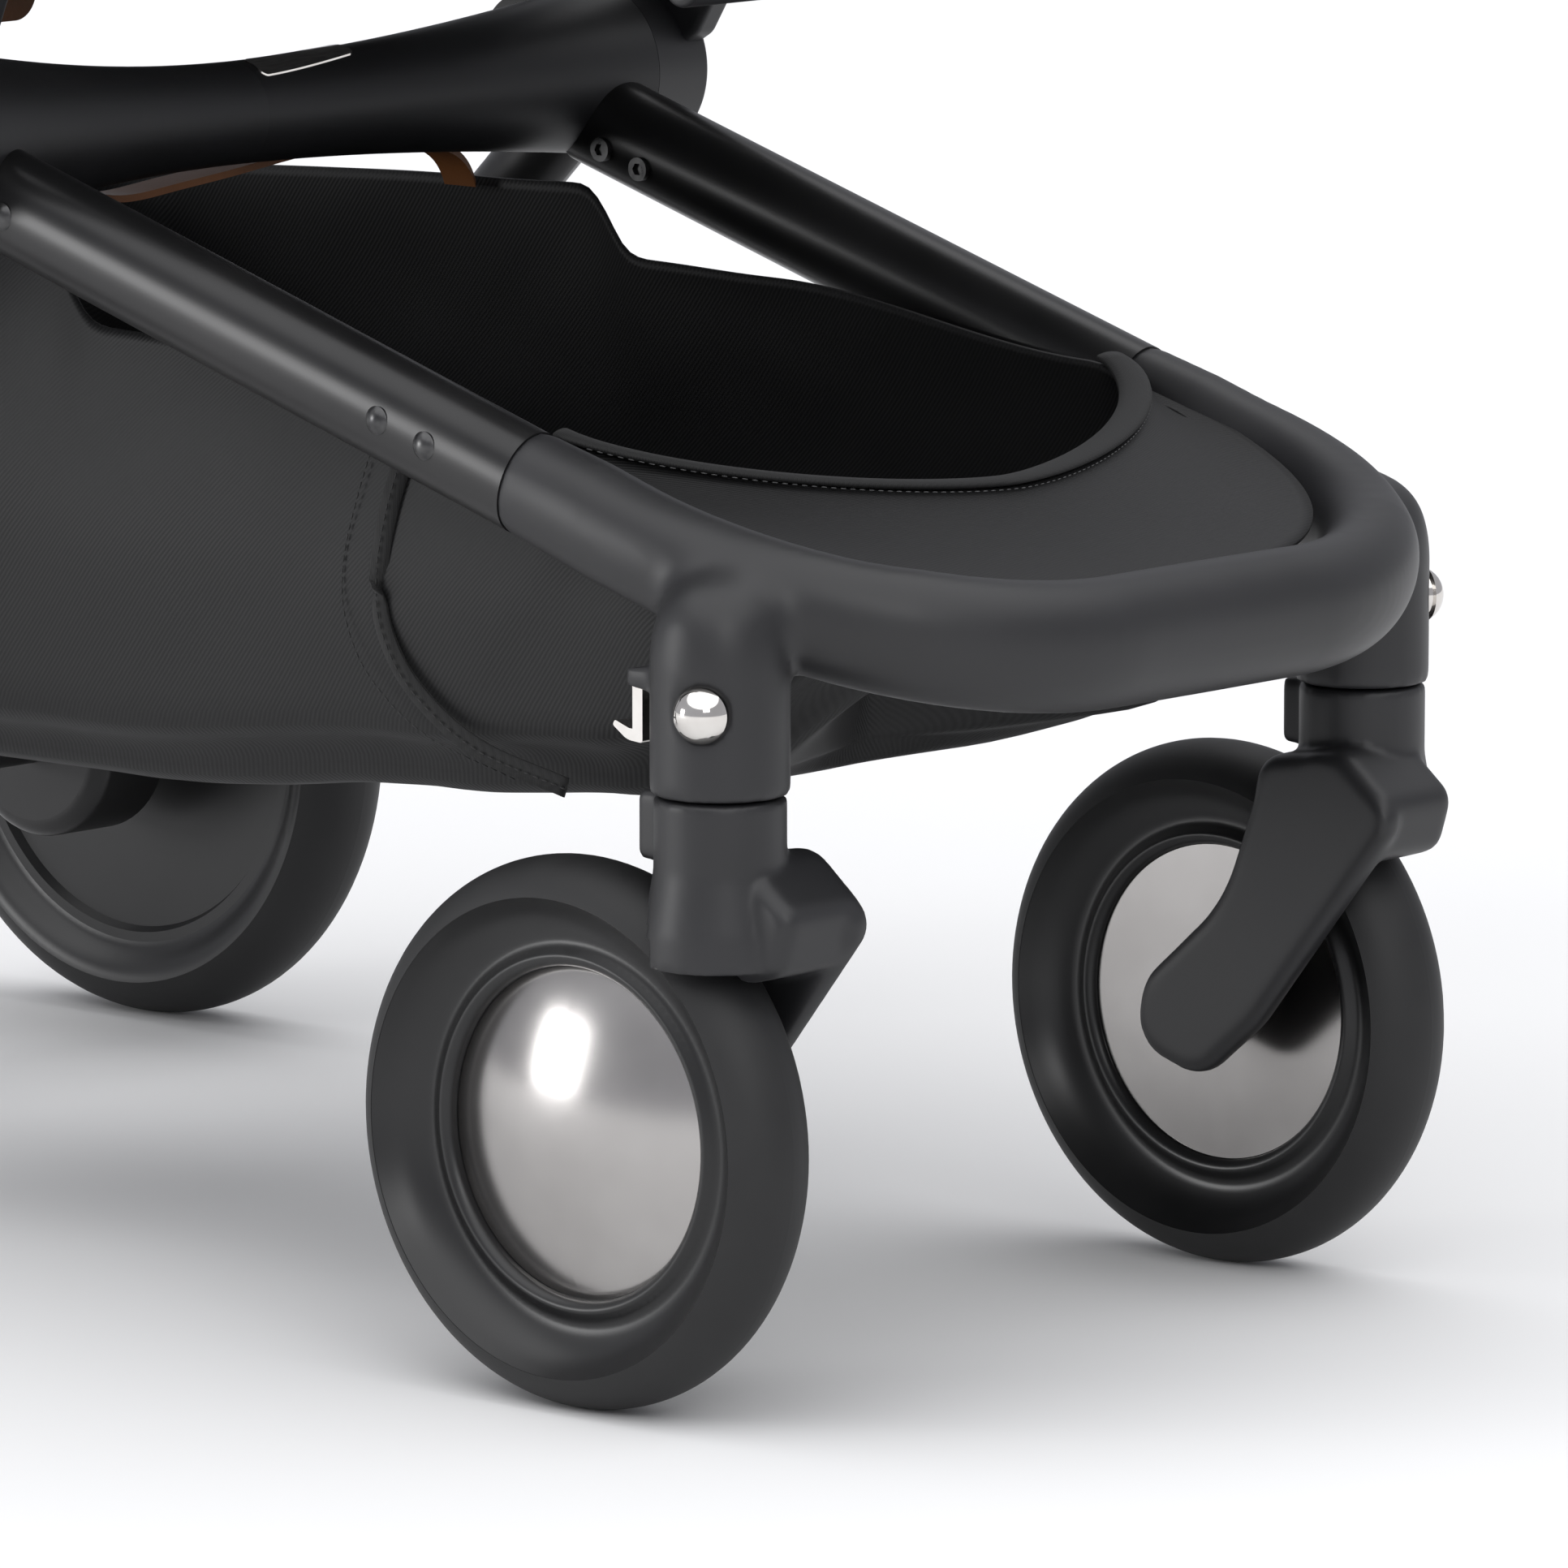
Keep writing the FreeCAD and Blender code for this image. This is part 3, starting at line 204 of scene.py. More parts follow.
# %% [markdown]
# **Hard finishes.** The castings are satin black plastic with a very fine spark texture,
# the tubes are black anodised aluminium drawn along their length, the wheel domes are
# satin chrome, and the buttons and levers are polished.

# %% Moulded black and drawn tube
satin_black, tree, shader = new_finish("satin_black_moulding", 0.46)
where = place_on(tree)
grain = cloud(tree, where, 0.45, 1)
wear = cloud(tree, where, 60, 4)
tree.links.new(blend_colours(tree, wear, (0.0105, 0.0105, 0.0115), (0.0150, 0.0150, 0.0168)),
               shader.inputs["Base Color"])
tree.links.new(between(tree, wear, 0.40, 0.52), shader.inputs["Roughness"])
relief(tree, shader, grain, 0.03, 0.35)

tube_black, tree, shader = new_finish("anodised_black_tube", 0.33, 0.35, 0.6)
where = place_on(tree, (1, 0.03, 0.03))
drawn = cloud(tree, where, 0.4, 2)
rubbed = cloud(tree, place_on(tree), 90, 3)
tree.links.new(blend_colours(tree, rubbed, (0.010, 0.010, 0.0105), (0.020, 0.0195, 0.020)),
               shader.inputs["Base Color"])
tree.links.new(between(tree, rubbed, 0.26, 0.38), shader.inputs["Roughness"])
relief(tree, shader, drawn, 0.01, 0.25)
print("finishes", satin_black.name, tube_black.name)

# %% Chrome, polished metal and dark steel
dome_chrome, tree, shader = new_finish("satin_chrome_dome", 0.2, 1.0)
where = place_on(tree)
haze = cloud(tree, where, 45, 3)
tree.links.new(blend_colours(tree, haze, (0.40, 0.385, 0.375), (0.46, 0.445, 0.435)), shader.inputs["Base Color"])
tree.links.new(between(tree, haze, 0.17, 0.24), shader.inputs["Roughness"])
relief(tree, shader, cloud(tree, where, 0.8, 2), 0.004, 0.2)

polished_metal, tree, shader = new_finish("polished_nickel", 0.08, 1.0)
where = place_on(tree)
haze = cloud(tree, where, 9, 3)
tree.links.new(blend_colours(tree, haze, (0.66, 0.63, 0.60), (0.74, 0.72, 0.69)), shader.inputs["Base Color"])
tree.links.new(between(tree, haze, 0.05, 0.13), shader.inputs["Roughness"])

dark_steel, tree, shader = new_finish("blackened_steel", 0.3, 0.9)
where = place_on(tree)
haze = cloud(tree, where, 5, 3)
tree.links.new(blend_colours(tree, haze, (0.05, 0.05, 0.052), (0.10, 0.10, 0.10)), shader.inputs["Base Color"])
tree.links.new(between(tree, haze, 0.22, 0.38), shader.inputs["Roughness"])

# %% Rubber and wheel plastic
tyre_rubber, tree, shader = new_finish("tyre_rubber", 0.58, 0.0, 0.45)
where = place_on(tree)
dust = cloud(tree, where, 30, 4)
tree.links.new(blend_colours(tree, dust, (0.0075, 0.0075, 0.008), (0.0125, 0.0125, 0.013)),
               shader.inputs["Base Color"])
tree.links.new(between(tree, dust, 0.50, 0.64), shader.inputs["Roughness"])
relief(tree, shader, cloud(tree, where, 0.7, 2), 0.04, 0.3)

rim_plastic, tree, shader = new_finish("rim_plastic", 0.36)
where = place_on(tree)
dust = cloud(tree, where, 50, 3)
tree.links.new(blend_colours(tree, dust, (0.0065, 0.0065, 0.007), (0.011, 0.011, 0.0115)),
               shader.inputs["Base Color"])
tree.links.new(between(tree, dust, 0.30, 0.42), shader.inputs["Roughness"])
relief(tree, shader, cloud(tree, where, 0.5, 1), 0.015, 0.3)
print("wheel finishes", tyre_rubber.name, rim_plastic.name)

# %% [markdown]
# **Soft finishes.** The basket is a coated twill, whose fine diagonal ribs catch a little
# light. The seat is a melange plain weave, two dark greys mixed yarn by yarn. Leather has
# pores between soft pebbles, and its colour drifts over the hide.

# %% Basket twill and binding tape
basket_twill, tree, shader = new_finish("coated_twill", 0.6, 0.0, 0.35)
where = place_on(tree)
twill = ribs_of(tree, where, 1.15, "DIAGONAL", 0.4)
fade = cloud(tree, where, 120, 4)
tinted = together(tree, twill, fade)
tree.links.new(blend_colours(tree, tinted, (0.0030, 0.0030, 0.0033), (0.0105, 0.0105, 0.011), 0.0, 0.8),
               shader.inputs["Base Color"])
tree.links.new(between(tree, fade, 0.5, 0.66), shader.inputs["Roughness"])
relief(tree, shader, twill, 0.14, 0.55)
shader.inputs["Sheen Weight"].default_value = 0.03

binding_tape, tree, shader = new_finish("binding_tape", 0.7, 0.0, 0.3)
where = place_on(tree)
weave = together(tree, ribs_of(tree, where, 0.7, "X"), ribs_of(tree, where, 0.7, "Y"), "ADD")
tree.links.new(blend_colours(tree, weave, (0.006, 0.006, 0.006), (0.013, 0.013, 0.013), 0.2, 1.6),
               shader.inputs["Base Color"])
relief(tree, shader, weave, 0.08, 0.4)
shader.inputs["Sheen Weight"].default_value = 0.05

# %% Seat cloth and webbing
seat_cloth, tree, shader = new_finish("melange_seat_cloth", 0.85, 0.0, 0.25)
where = place_on(tree)
yarn = together(tree, ribs_of(tree, where, 0.9, "X", 0.6), ribs_of(tree, where, 0.9, "Z", 0.6), "ADD")
flecks = cloud(tree, place_on(tree, (1, 0.25, 0.25)), 1.6, 2)
tree.links.new(blend_colours(tree, flecks, (0.014, 0.0145, 0.016), (0.060, 0.060, 0.064), 0.35, 0.72),
               shader.inputs["Base Color"])
relief(tree, shader, yarn, 0.16, 0.6)
shader.inputs["Sheen Weight"].default_value = 0.25
shader.inputs["Sheen Roughness"].default_value = 0.5

webbing, tree, shader = new_finish("belt_webbing", 0.6, 0.0, 0.35)
where = place_on(tree, kind="UV")
chevron = ribs_of(tree, where, 1.6, "X", 0.0)
cross = ribs_of(tree, where, 1.1, "Y", 0.2)
both = together(tree, chevron, cross, "ADD")
tree.links.new(blend_colours(tree, both, (0.008, 0.008, 0.009), (0.022, 0.022, 0.024), 0.3, 1.6),
               shader.inputs["Base Color"])
relief(tree, shader, both, 0.18, 0.7)

# %% Tan leather and thread
tan_leather, tree, shader = new_finish("tan_leather", 0.48, 0.0, 0.4)
where = place_on(tree)
pebbles = cells(tree, where, 1.5, "SMOOTH_F1")
pores = cloud(tree, where, 0.5, 2)
hide = cloud(tree, where, 70, 5)
tree.links.new(blend_colours(tree, hide, (0.125, 0.046, 0.014), (0.215, 0.083, 0.027)), shader.inputs["Base Color"])
tree.links.new(between(tree, hide, 0.40, 0.56), shader.inputs["Roughness"])
first = relief(tree, shader, pebbles, 0.12, 0.5)
relief(tree, shader, pores, 0.03, 0.3, first)

black_thread, tree, shader = new_finish("black_thread", 0.6, 0.0, 0.4)
tree.links.new(blend_colours(tree, cloud(tree, place_on(tree), 0.6, 1), (0.006, 0.006, 0.006), (0.02, 0.02, 0.02)),
               shader.inputs["Base Color"])
pale_thread, tree, shader = new_finish("waxed_tan_thread", 0.55, 0.0, 0.4)
tree.links.new(blend_colours(tree, cloud(tree, place_on(tree), 0.6, 1), (0.22, 0.10, 0.04), (0.36, 0.18, 0.08)),
               shader.inputs["Base Color"])
grey_thread, tree, shader = new_finish("grey_thread", 0.6, 0.0, 0.4)
tree.links.new(blend_colours(tree, cloud(tree, place_on(tree), 0.6, 1), (0.05, 0.05, 0.052), (0.10, 0.10, 0.10)),
               shader.inputs["Base Color"])
print(len(bpy.data.materials), "materials so far")

# %% [markdown]
# ## Dressing the hard parts
# Hard nodes keep the mesh they came with, and only their material changes. The bow and the
# caster forks are the exception: they get a smoothed copy further down.

# %% Materials onto the frame's nodes
DRESS = {
    satin_black: ["front_bow", "cross_member", "hub_cover", "seat_post", "caster_fork", "brake_pedal", "seat_side",
                  "footrest"],
    tube_black: ["leg_tube", "rear_leg", "rear_axle_tube", "handle_sleeve", "handle_bar", "backrest_frame"],
    dome_chrome: ["front_domes"],
    polished_metal: ["trim_plate", "caster_button", "swivel_lock"],
    dark_steel: ["pivot_pins", "tube_rivets", "hub_screws", "front_axle", "rear_axle_pin"],
    tyre_rubber: ["front_tyre", "rear_tyre"],
    rim_plastic: ["front_rim", "rear_rim", "rear_cap", "handle_button", "buckle"],
    tan_leather: ["handle_grip", "bumper_bar", "pull_strap", "pull_tab", "buckle_button"],
    seat_cloth: ["seat_base", "backrest_pad", "canopy_rear", "canopy_front"],
    webbing: ["shoulder_belts"],
    basket_twill: ["basket"],
}


def dress(obj, material):
    obj.data.materials.clear()
    obj.data.materials.append(material)
    return obj


for material, kinds in DRESS.items():
    for name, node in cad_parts.items():
        bare = name.replace("_right", "").replace("_left", "")
        if bare in kinds:
            dress(node, material)
undressed = [n for n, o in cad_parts.items() if not o.data.materials]
print(len(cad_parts), "nodes dressed, without a finish:", undressed)

# %% [markdown]
# ## Tools for building soft pieces
# Cloth pieces start as a grid of rows of points. The grid becomes faces, gets a thickness
# from a Solidify modifier, and everything is applied so that one plain mesh is left.

# %% Mesh helpers
def piece_from(name, points, faces, material):
    mesh = bpy.data.meshes.new(name)
    mesh.from_pydata([tuple(p) for p in points], [], faces)
    mesh.validate()
    made = bpy.data.objects.new(name, mesh)
    bpy.context.scene.collection.objects.link(made)
    mesh.materials.append(material)
    mesh.shade_smooth()
    return made


def grid_piece(name, rows, material, closed=False):
    across = len(rows[0])
    points = [p for row in rows for p in row]
    faces = []
    for r in range(len(rows) - 1):
        for c in range(across if closed else across - 1):
            d = (c + 1) % across
            faces.append((r * across + c, r * across + d, (r + 1) * across + d, (r + 1) * across + c))
    return piece_from(name, points, faces, material)


def merge_points(obj, gap=0.00002, outward=True):
    work = bmesh.new()
    work.from_mesh(obj.data)
    bmesh.ops.remove_doubles(work, verts=work.verts, dist=gap)
    if outward:
        bmesh.ops.recalc_face_normals(work, faces=work.faces)
    work.to_mesh(obj.data)
    work.free()
    obj.data.shade_smooth()
    return obj


def settle(obj):
    """Applies every modifier by taking the evaluated mesh as the piece's own."""
    evaluated = obj.evaluated_get(bpy.context.evaluated_depsgraph_get())
    mesh = bpy.data.meshes.new_from_object(evaluated)
    obj.modifiers.clear()
    obj.data = mesh
    return obj


def thicken(obj, thick_mm, offset=-1.0, rounds=0):
    if rounds:
        add = obj.modifiers.new("rounder", "SUBSURF")
        add.levels = add.render_levels = rounds
    wall = obj.modifiers.new("wall", "SOLIDIFY")
    wall.thickness, wall.offset, wall.use_even_offset = thick_mm / 1000, offset, True
    settle(obj)
    obj.data.shade_smooth()
    return obj


def copy_of(node, name):
    made = bpy.data.objects.new(name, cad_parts[node].data.copy())
    bpy.context.scene.collection.objects.link(made)
    return merge_points(made, outward=False)


def remesh(obj, size_mm, smooth=0, factor=0.5):
    voxels = obj.modifiers.new("voxels", "REMESH")
    voxels.mode, voxels.voxel_size, voxels.use_smooth_shade = "VOXEL", size_mm / 1000, True
    if smooth:
        soft = obj.modifiers.new("soft", "SMOOTH")
        soft.factor, soft.iterations = factor, smooth
    material = obj.data.materials[0]
    settle(obj)
    dress(obj, material)
    obj.data.shade_smooth()
    return obj


def sweep(name, line, section, material):
    """Carries a closed section, given as (side, up) pairs, along a line of points and caps both ends."""
    rows, up = [], Vector((0, 0, 1))
    for i, p in enumerate(line):
        ahead = (line[min(i + 1, len(line) - 1)] - line[max(i - 1, 0)]).normalized()
        side = ahead.cross(up).normalized()
        top = side.cross(ahead).normalized()
        rows.append([p + side * a + top * b for a, b in section])
    made = grid_piece(name, rows, material, closed=True)
    work = bmesh.new()
    work.from_mesh(made.data)
    work.verts.ensure_lookup_table()
    n, last = len(section), len(line) - 1
    work.faces.new([work.verts[i] for i in range(n)])
    work.faces.new([work.verts[last * n + i] for i in reversed(range(n))])
    bmesh.ops.recalc_face_normals(work, faces=work.faces)
    work.to_mesh(made.data)
    work.free()
    made.data.shade_smooth()
    return made


def smooth_line(points, count):
    """Even points on a Catmull-Rom curve through the given ones."""
    ends = [points[0] * 2 - points[1]] + list(points) + [points[-1] * 2 - points[-2]]
    dense = []
    for i in range(1, len(ends) - 2):
        a, b, c, d = ends[i - 1:i + 3]
        for k in range(24):
            t = k / 24
            dense.append(0.5 * (b * 2 + (c - a) * t + (a * 2 - b * 5 + c * 4 - d) * t * t
                                + (b * 3 - a - c * 3 + d) * t ** 3))
    dense.append(points[-1].copy())
    steps = [0.0]
    for p, q in zip(dense[:-1], dense[1:]):
        steps.append(steps[-1] + (q - p).length)
    out, j = [], 0
    for k in range(count):
        want = steps[-1] * k / (count - 1)
        while j < len(steps) - 2 and steps[j + 1] < want:
            j += 1
        gap = steps[j + 1] - steps[j]
        out.append(dense[j].lerp(dense[j + 1], 0 if gap == 0 else (want - steps[j]) / gap))
    return out


print("mesh helpers ready")

# %% [markdown]
# **Stitches** repeat along a line, which is what Geometry Nodes are for. The tree takes a
# curve, walks it in even steps, puts one short rounded stitch on every step, turned along
# the line, and makes the copies real. Its named inputs are the pitch, the stitch length
# and the thread's thickness.

# %% The stitch maker
def stitch_tree():
    tree = bpy.data.node_groups.new("sewn_line", "GeometryNodeTree")
    face = tree.interface
    face.new_socket("Line", in_out="INPUT", socket_type="NodeSocketGeometry")
    for label, value in (("Pitch", 0.004), ("Stitch Length", 0.0028), ("Thread Radius", 0.0004)):
        face.new_socket(label, in_out="INPUT", socket_type="NodeSocketFloat").default_value = value
    face.new_socket("Thread", in_out="INPUT", socket_type="NodeSocketMaterial")
    face.new_socket("Stitches", in_out="OUTPUT", socket_type="NodeSocketGeometry")
    new, link = tree.nodes.new, tree.links.new
    given, out = new("NodeGroupInput"), new("NodeGroupOutput")
    walk = new("GeometryNodeResampleCurve")
    walk.mode = "LENGTH"
    link(given.outputs["Line"], walk.inputs["Curve"])
    link(given.outputs["Pitch"], walk.inputs["Length"])
    bead = new("GeometryNodeMeshUVSphere")
    bead.inputs["Segments"].default_value, bead.inputs["Rings"].default_value = 6, 4
    bead.inputs["Radius"].default_value = 1.0
    half = new("ShaderNodeMath")
    half.operation, half.inputs[1].default_value = "MULTIPLY", 0.5
    link(given.outputs["Stitch Length"], half.inputs[0])
    size = new("ShaderNodeCombineXYZ")
    link(given.outputs["Thread Radius"], size.inputs["X"])
    link(given.outputs["Thread Radius"], size.inputs["Y"])
    link(half.outputs[0], size.inputs["Z"])
    turn = new("FunctionNodeAlignRotationToVector")
    turn.axis = "Z"
    link(new("GeometryNodeInputTangent").outputs["Tangent"], turn.inputs["Vector"])
    put = new("GeometryNodeInstanceOnPoints")
    link(walk.outputs["Curve"], put.inputs["Points"])
    link(bead.outputs["Mesh"], put.inputs["Instance"])
    link(turn.outputs["Rotation"], put.inputs["Rotation"])
    link(size.outputs["Vector"], put.inputs["Scale"])
    real, paint = new("GeometryNodeRealizeInstances"), new("GeometryNodeSetMaterial")
    link(put.outputs["Instances"], real.inputs["Geometry"])
    link(real.outputs["Geometry"], paint.inputs["Geometry"])
    link(given.outputs["Thread"], paint.inputs["Material"])
    link(paint.outputs["Geometry"], out.inputs["Stitches"])
    return tree


SEWN = stitch_tree()


def sew(name, lines, thread, body, pitch_mm=4.2, long_mm=2.9, thick_mm=0.42):
    """Sews one or more lines of points, as one mesh that rides on a body."""
    data = bpy.data.curves.new(name + "_line", "CURVE")
    data.dimensions = "3D"
    for points in lines:
        spline = data.splines.new("POLY")
        spline.points.add(len(points) - 1)
        for at, p in zip(spline.points, points):
            at.co = (*p, 1)
    holder = bpy.data.objects.new(name + "_line", data)
    bpy.context.scene.collection.objects.link(holder)
    maker = holder.modifiers.new("sewing", "NODES")
    maker.node_group = SEWN
    socket = {s.name: s.identifier for s in SEWN.interface.items_tree if s.in_out == "INPUT"}
    maker[socket["Pitch"]] = pitch_mm / 1000
    maker[socket["Stitch Length"]] = long_mm / 1000
    maker[socket["Thread Radius"]] = thick_mm / 1000
    maker[socket["Thread"]] = thread
    mesh = bpy.data.meshes.new_from_object(holder.evaluated_get(bpy.context.evaluated_depsgraph_get()))
    bpy.data.objects.remove(holder)
    made = bpy.data.objects.new(name, mesh)
    bpy.context.scene.collection.objects.link(made)
    mesh.shade_smooth()
    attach(made, body)
    print(name, len(mesh.polygons) // 24, "stitches")
    return made


# %% [markdown]
# ## Front bow
# The bow is one casting: two sockets for the casters flow into a bent tube without a
# visible corner. A solid drawing leaves creases where its parts meet, so a copy is turned
# into small even faces and relaxed, which melts the creases into fillets. The relaxing is
# strongest round the two sockets and stops above the buttons' bores.

# %% Smooth casting
bow = copy_of("front_bow", "bow_casting")
dress(bow, satin_black)
remesh(bow, 2.0, smooth=6, factor=0.5)
fillet = bow.vertex_groups.new(name="fillet")
SOCKET_X, SOCKET_Y, TUBE_SIDE = 0.170, spot(0, -62, 0).y, 0.008
FILLET_REACH, FILLET_FADE = 0.062, 0.022
BORE_TOP, BORE_FADE = 0.262, 0.012
for vertex in bow.data.vertices:
    p = vertex.co
    away = math.hypot(abs(p.x) - SOCKET_X + TUBE_SIDE, p.y - SOCKET_Y)
    near = max(0.0, min(1.0, (FILLET_REACH - away) / FILLET_FADE)) * max(0.0, min(1.0, (p.z - BORE_TOP) / BORE_FADE))
    if near > 0:
        fillet.add([vertex.index], near, "REPLACE")
relax = bow.modifiers.new("relax", "SMOOTH")
relax.factor, relax.iterations, relax.vertex_group = 0.5, 90, "fillet"
settle(bow)
bow.data.shade_smooth()
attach(bow, "front_frame")
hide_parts("front_bow")
print("bow casting", len(bow.data.polygons), "faces")

# %% Smooth caster forks
for word in ("right", "left"):
    fork = copy_of("caster_fork_" + word, "fork_casting_" + word)
    dress(fork, satin_black)
    remesh(fork, 1.6, smooth=5, factor=0.5)
    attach(fork, "caster_" + word)
    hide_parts("caster_fork_" + word)
    print(fork.name, len(fork.data.polygons), "faces")

# %% [markdown]
# ## Basket
# The basket is a sewn tub of coated twill. Its side walls hang from the leg tubes and
# belly out a little below them, the floor sags, and the front rounds to fit the bow. The
# tub is built as rings round its own plan, from the top edge down the wall, round the
# bottom edge and in to the middle of the floor, so it is one continuous cloth.

# %% The basket's outline
TUB_HALF, TUB_REAR, TUB_FRONT, TUB_BEND, REAR_BEND = 139.0, 554.0, -92.0, 94.0, 22


def tub_plan():
    """Points round the tub seen from above, from the middle of the rear wall, all the way round."""
    side = []
    for k in range(9):
        side.append((-k / 9 * (TUB_HALF - REAR_BEND), TUB_REAR))
    for k in range(7):
        a = math.pi / 2 * k / 7
        side.append((-(TUB_HALF - REAR_BEND) - REAR_BEND * math.sin(a), TUB_REAR - REAR_BEND + REAR_BEND * math.cos(a)))
    for k in range(64):
        side.append((-TUB_HALF, TUB_REAR - REAR_BEND - k / 64 * (TUB_REAR - REAR_BEND - TUB_FRONT - TUB_BEND)))
    for k in range(20):
        a = math.pi / 2 * k / 20
        side.append((-TUB_HALF + TUB_BEND * (1 - math.cos(a)), TUB_FRONT + TUB_BEND * (1 - math.sin(a))))
    for k in range(6):
        side.append((-(TUB_HALF - TUB_BEND) * (1 - k / 6), TUB_FRONT))
    other = [(-x, y) for x, y in reversed(side[1:])]
    return side + [(0.0, TUB_FRONT)] + other


def along_y(y, stops):
    """Straight-line reading of a height list [(y, z), ...], eased at the stops."""
    if y <= stops[0][0]:
        return stops[0][1]
    for (y0, z0), (y1, z1) in zip(stops[:-1], stops[1:]):
        if y <= y1:
            t = (y - y0) / (y1 - y0)
            return z0 + (z1 - z0) * (t * t * (3 - 2 * t))
    return stops[-1][1]


TUB_TOP = [(-92, 268), (-60, 284), (10, 314), (36, 326), (190, 344), (262, 346), (284, 372), (330, 371), (560, 364)]
TUB_BASE = [(-92, 252), (-20, 212), (30, 203), (120, 196), (260, 184), (520, 182), (560, 194)]
plan = tub_plan()
print("basket plan", len(plan), "points")

# %% The tub
def tub_point(x, y, down):
    """down 0 is the top edge, 1 the bottom corner, 1 to 2 the floor up to its middle line."""
    top, base = along_y(y, TUB_TOP), along_y(y, TUB_BASE)
    spine_y = min(max(y, TUB_FRONT + 118), TUB_REAR - 110)
    if down <= 1:
        z = top + (base + 20 - top) * down
        belly = math.sin(math.pi * min(1, down * 1.02)) * 8.0 * (0.35 if y > 500 else 1.0)
        grow = 1 + belly / max(60.0, math.hypot(x, y - spine_y))
        px, py = x * grow, spine_y + (y - spine_y) * grow
    else:
        t = down - 1
        z = base + 20 * math.cos(min(1, t * 3.2) * math.pi / 2) - 4 * math.sin(t * math.pi / 2)
        keep = 1 - 0.16 * math.sin(min(1, t * 3.2) * math.pi / 2) - 0.84 * max(0, (t - 0.3125) / 0.6875)
        px, py = x * keep, spine_y + (y - spine_y) * keep
    rough = Vector((px * 0.012, py * 0.012, z * 0.02))
    ripple = noise.noise(rough) * 2.6 + noise.noise(rough * 3.1) * 0.9
    crease = noise.noise(Vector((px * 0.02, (py + z) * 0.035, 3.0))) * (2.2 if y < 60 else 0.8)
    push = (ripple + crease) * math.sin(math.pi * min(down, 1) ** 0.8) if down <= 1 else ripple
    reach = max(1.0, math.hypot(px, py - spine_y))
    if down <= 1:
        px, py = px + px / reach * push, py + (py - spine_y) / reach * push
    else:
        z += push * 0.8
    return spot(px, py, z)


levels = [0, 0.05, 0.12, 0.2, 0.3, 0.4, 0.5, 0.6, 0.7, 0.8, 0.9, 1.0, 1.08, 1.16, 1.24, 1.32, 1.45, 1.6, 1.75, 1.9, 2.0]
tub = grid_piece("basket_tub", [[tub_point(x, y, d) for x, y in plan] for d in levels], basket_twill, closed=True)
merge_points(tub)
thicken(tub, 1.6, -1.0, 1)
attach(tub, "front_frame")
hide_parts("basket")


# %% [markdown]

# %% [markdown]
# The front of the basket is closed by a shelf panel that spans the bow. Its outer edge is
# tucked into the bow, its inner edge is the basket's mouth, bound with a soft tape. Both
# edges are rounded curves in the plane of the leg tubes, so one radius rule draws them.

# %% Shelf panel and mouth binding
SHELF_MIDDLE_Y, SHELF_SLOPE, SHELF_HEIGHT = 34.0, 0.3115, 316.5
MOUTH_SHAPE, RIM_SHAPE = (146.0, 78.0, 1.6), (150.5, 149.0, 2.75)


def shelf_reach(angle, half_width, depth, power):
    c, s = abs(math.cos(angle)) / half_width, abs(math.sin(angle)) / depth
    return (c ** power + s ** power) ** (-1 / power)


def shelf_point(angle, reach, lift=0.0):
    x, y = reach * math.cos(angle), SHELF_MIDDLE_Y - reach * math.sin(angle)
    return spot(x, y, SHELF_HEIGHT + SHELF_SLOPE * y + lift)


def mouth(angle, more=0.0, lift=0.0):
    return shelf_point(angle, shelf_reach(angle, *MOUTH_SHAPE) + more, lift)


angles = [math.pi * k / 72 for k in range(73)]
rows = []
for t in [0, 0.12, 0.3, 0.5, 0.7, 0.88, 1.0]:
    row = []
    for a in angles:
        inner = shelf_reach(a, *MOUTH_SHAPE)
        outer = shelf_reach(a, *RIM_SHAPE)
        reach = inner + max(0.5, outer - inner) * t
        row.append(shelf_point(a, reach, -3.0 * math.sin(math.pi * t) - 3.5 * t))
    rows.append(row)
shelf = grid_piece("basket_shelf", rows, basket_twill)
thicken(shelf, 1.4, -1.0, 1)
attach(shelf, "front_frame")


tape_section = [(a / 1000, b / 1000) for a, b in
                ((-6, -0.6), (-5.6, 0.7), (-3, 1.5), (0, 1.8), (3, 1.5), (5.6, 0.7), (6, -0.6), (3, -1.4), (-3, -1.4))]
mouth_line = [mouth(math.pi * k / 96, -2.0, 1.0) for k in range(97)]
mouth_tape = sweep("mouth_binding", mouth_line, tape_section, binding_tape)
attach(mouth_tape, "front_frame")
sew("mouth_stitches", [[mouth(math.pi * k / 96, 5.2, 1.2) for k in range(3, 94)]], grey_thread, "front_frame", 3.6, 2.3,
    0.22)
print("shelf and mouth binding made")

# %% [markdown]
# **Side seams of the basket.** Two curved seams run from the tube down the side wall and
# forward under the floor. Each carries one row of stitches, and the front one lies on a
# flat tape. Every line is a handful of spots on the wall, made smooth.

# %% Seam tapes and stitches on both side walls
WALL_X = 147.6


def wall_line(side, spots, out=0.0, count=60):
    return smooth_line([spot(side * (WALL_X + out + b), y, z) for y, z, b in spots], count)


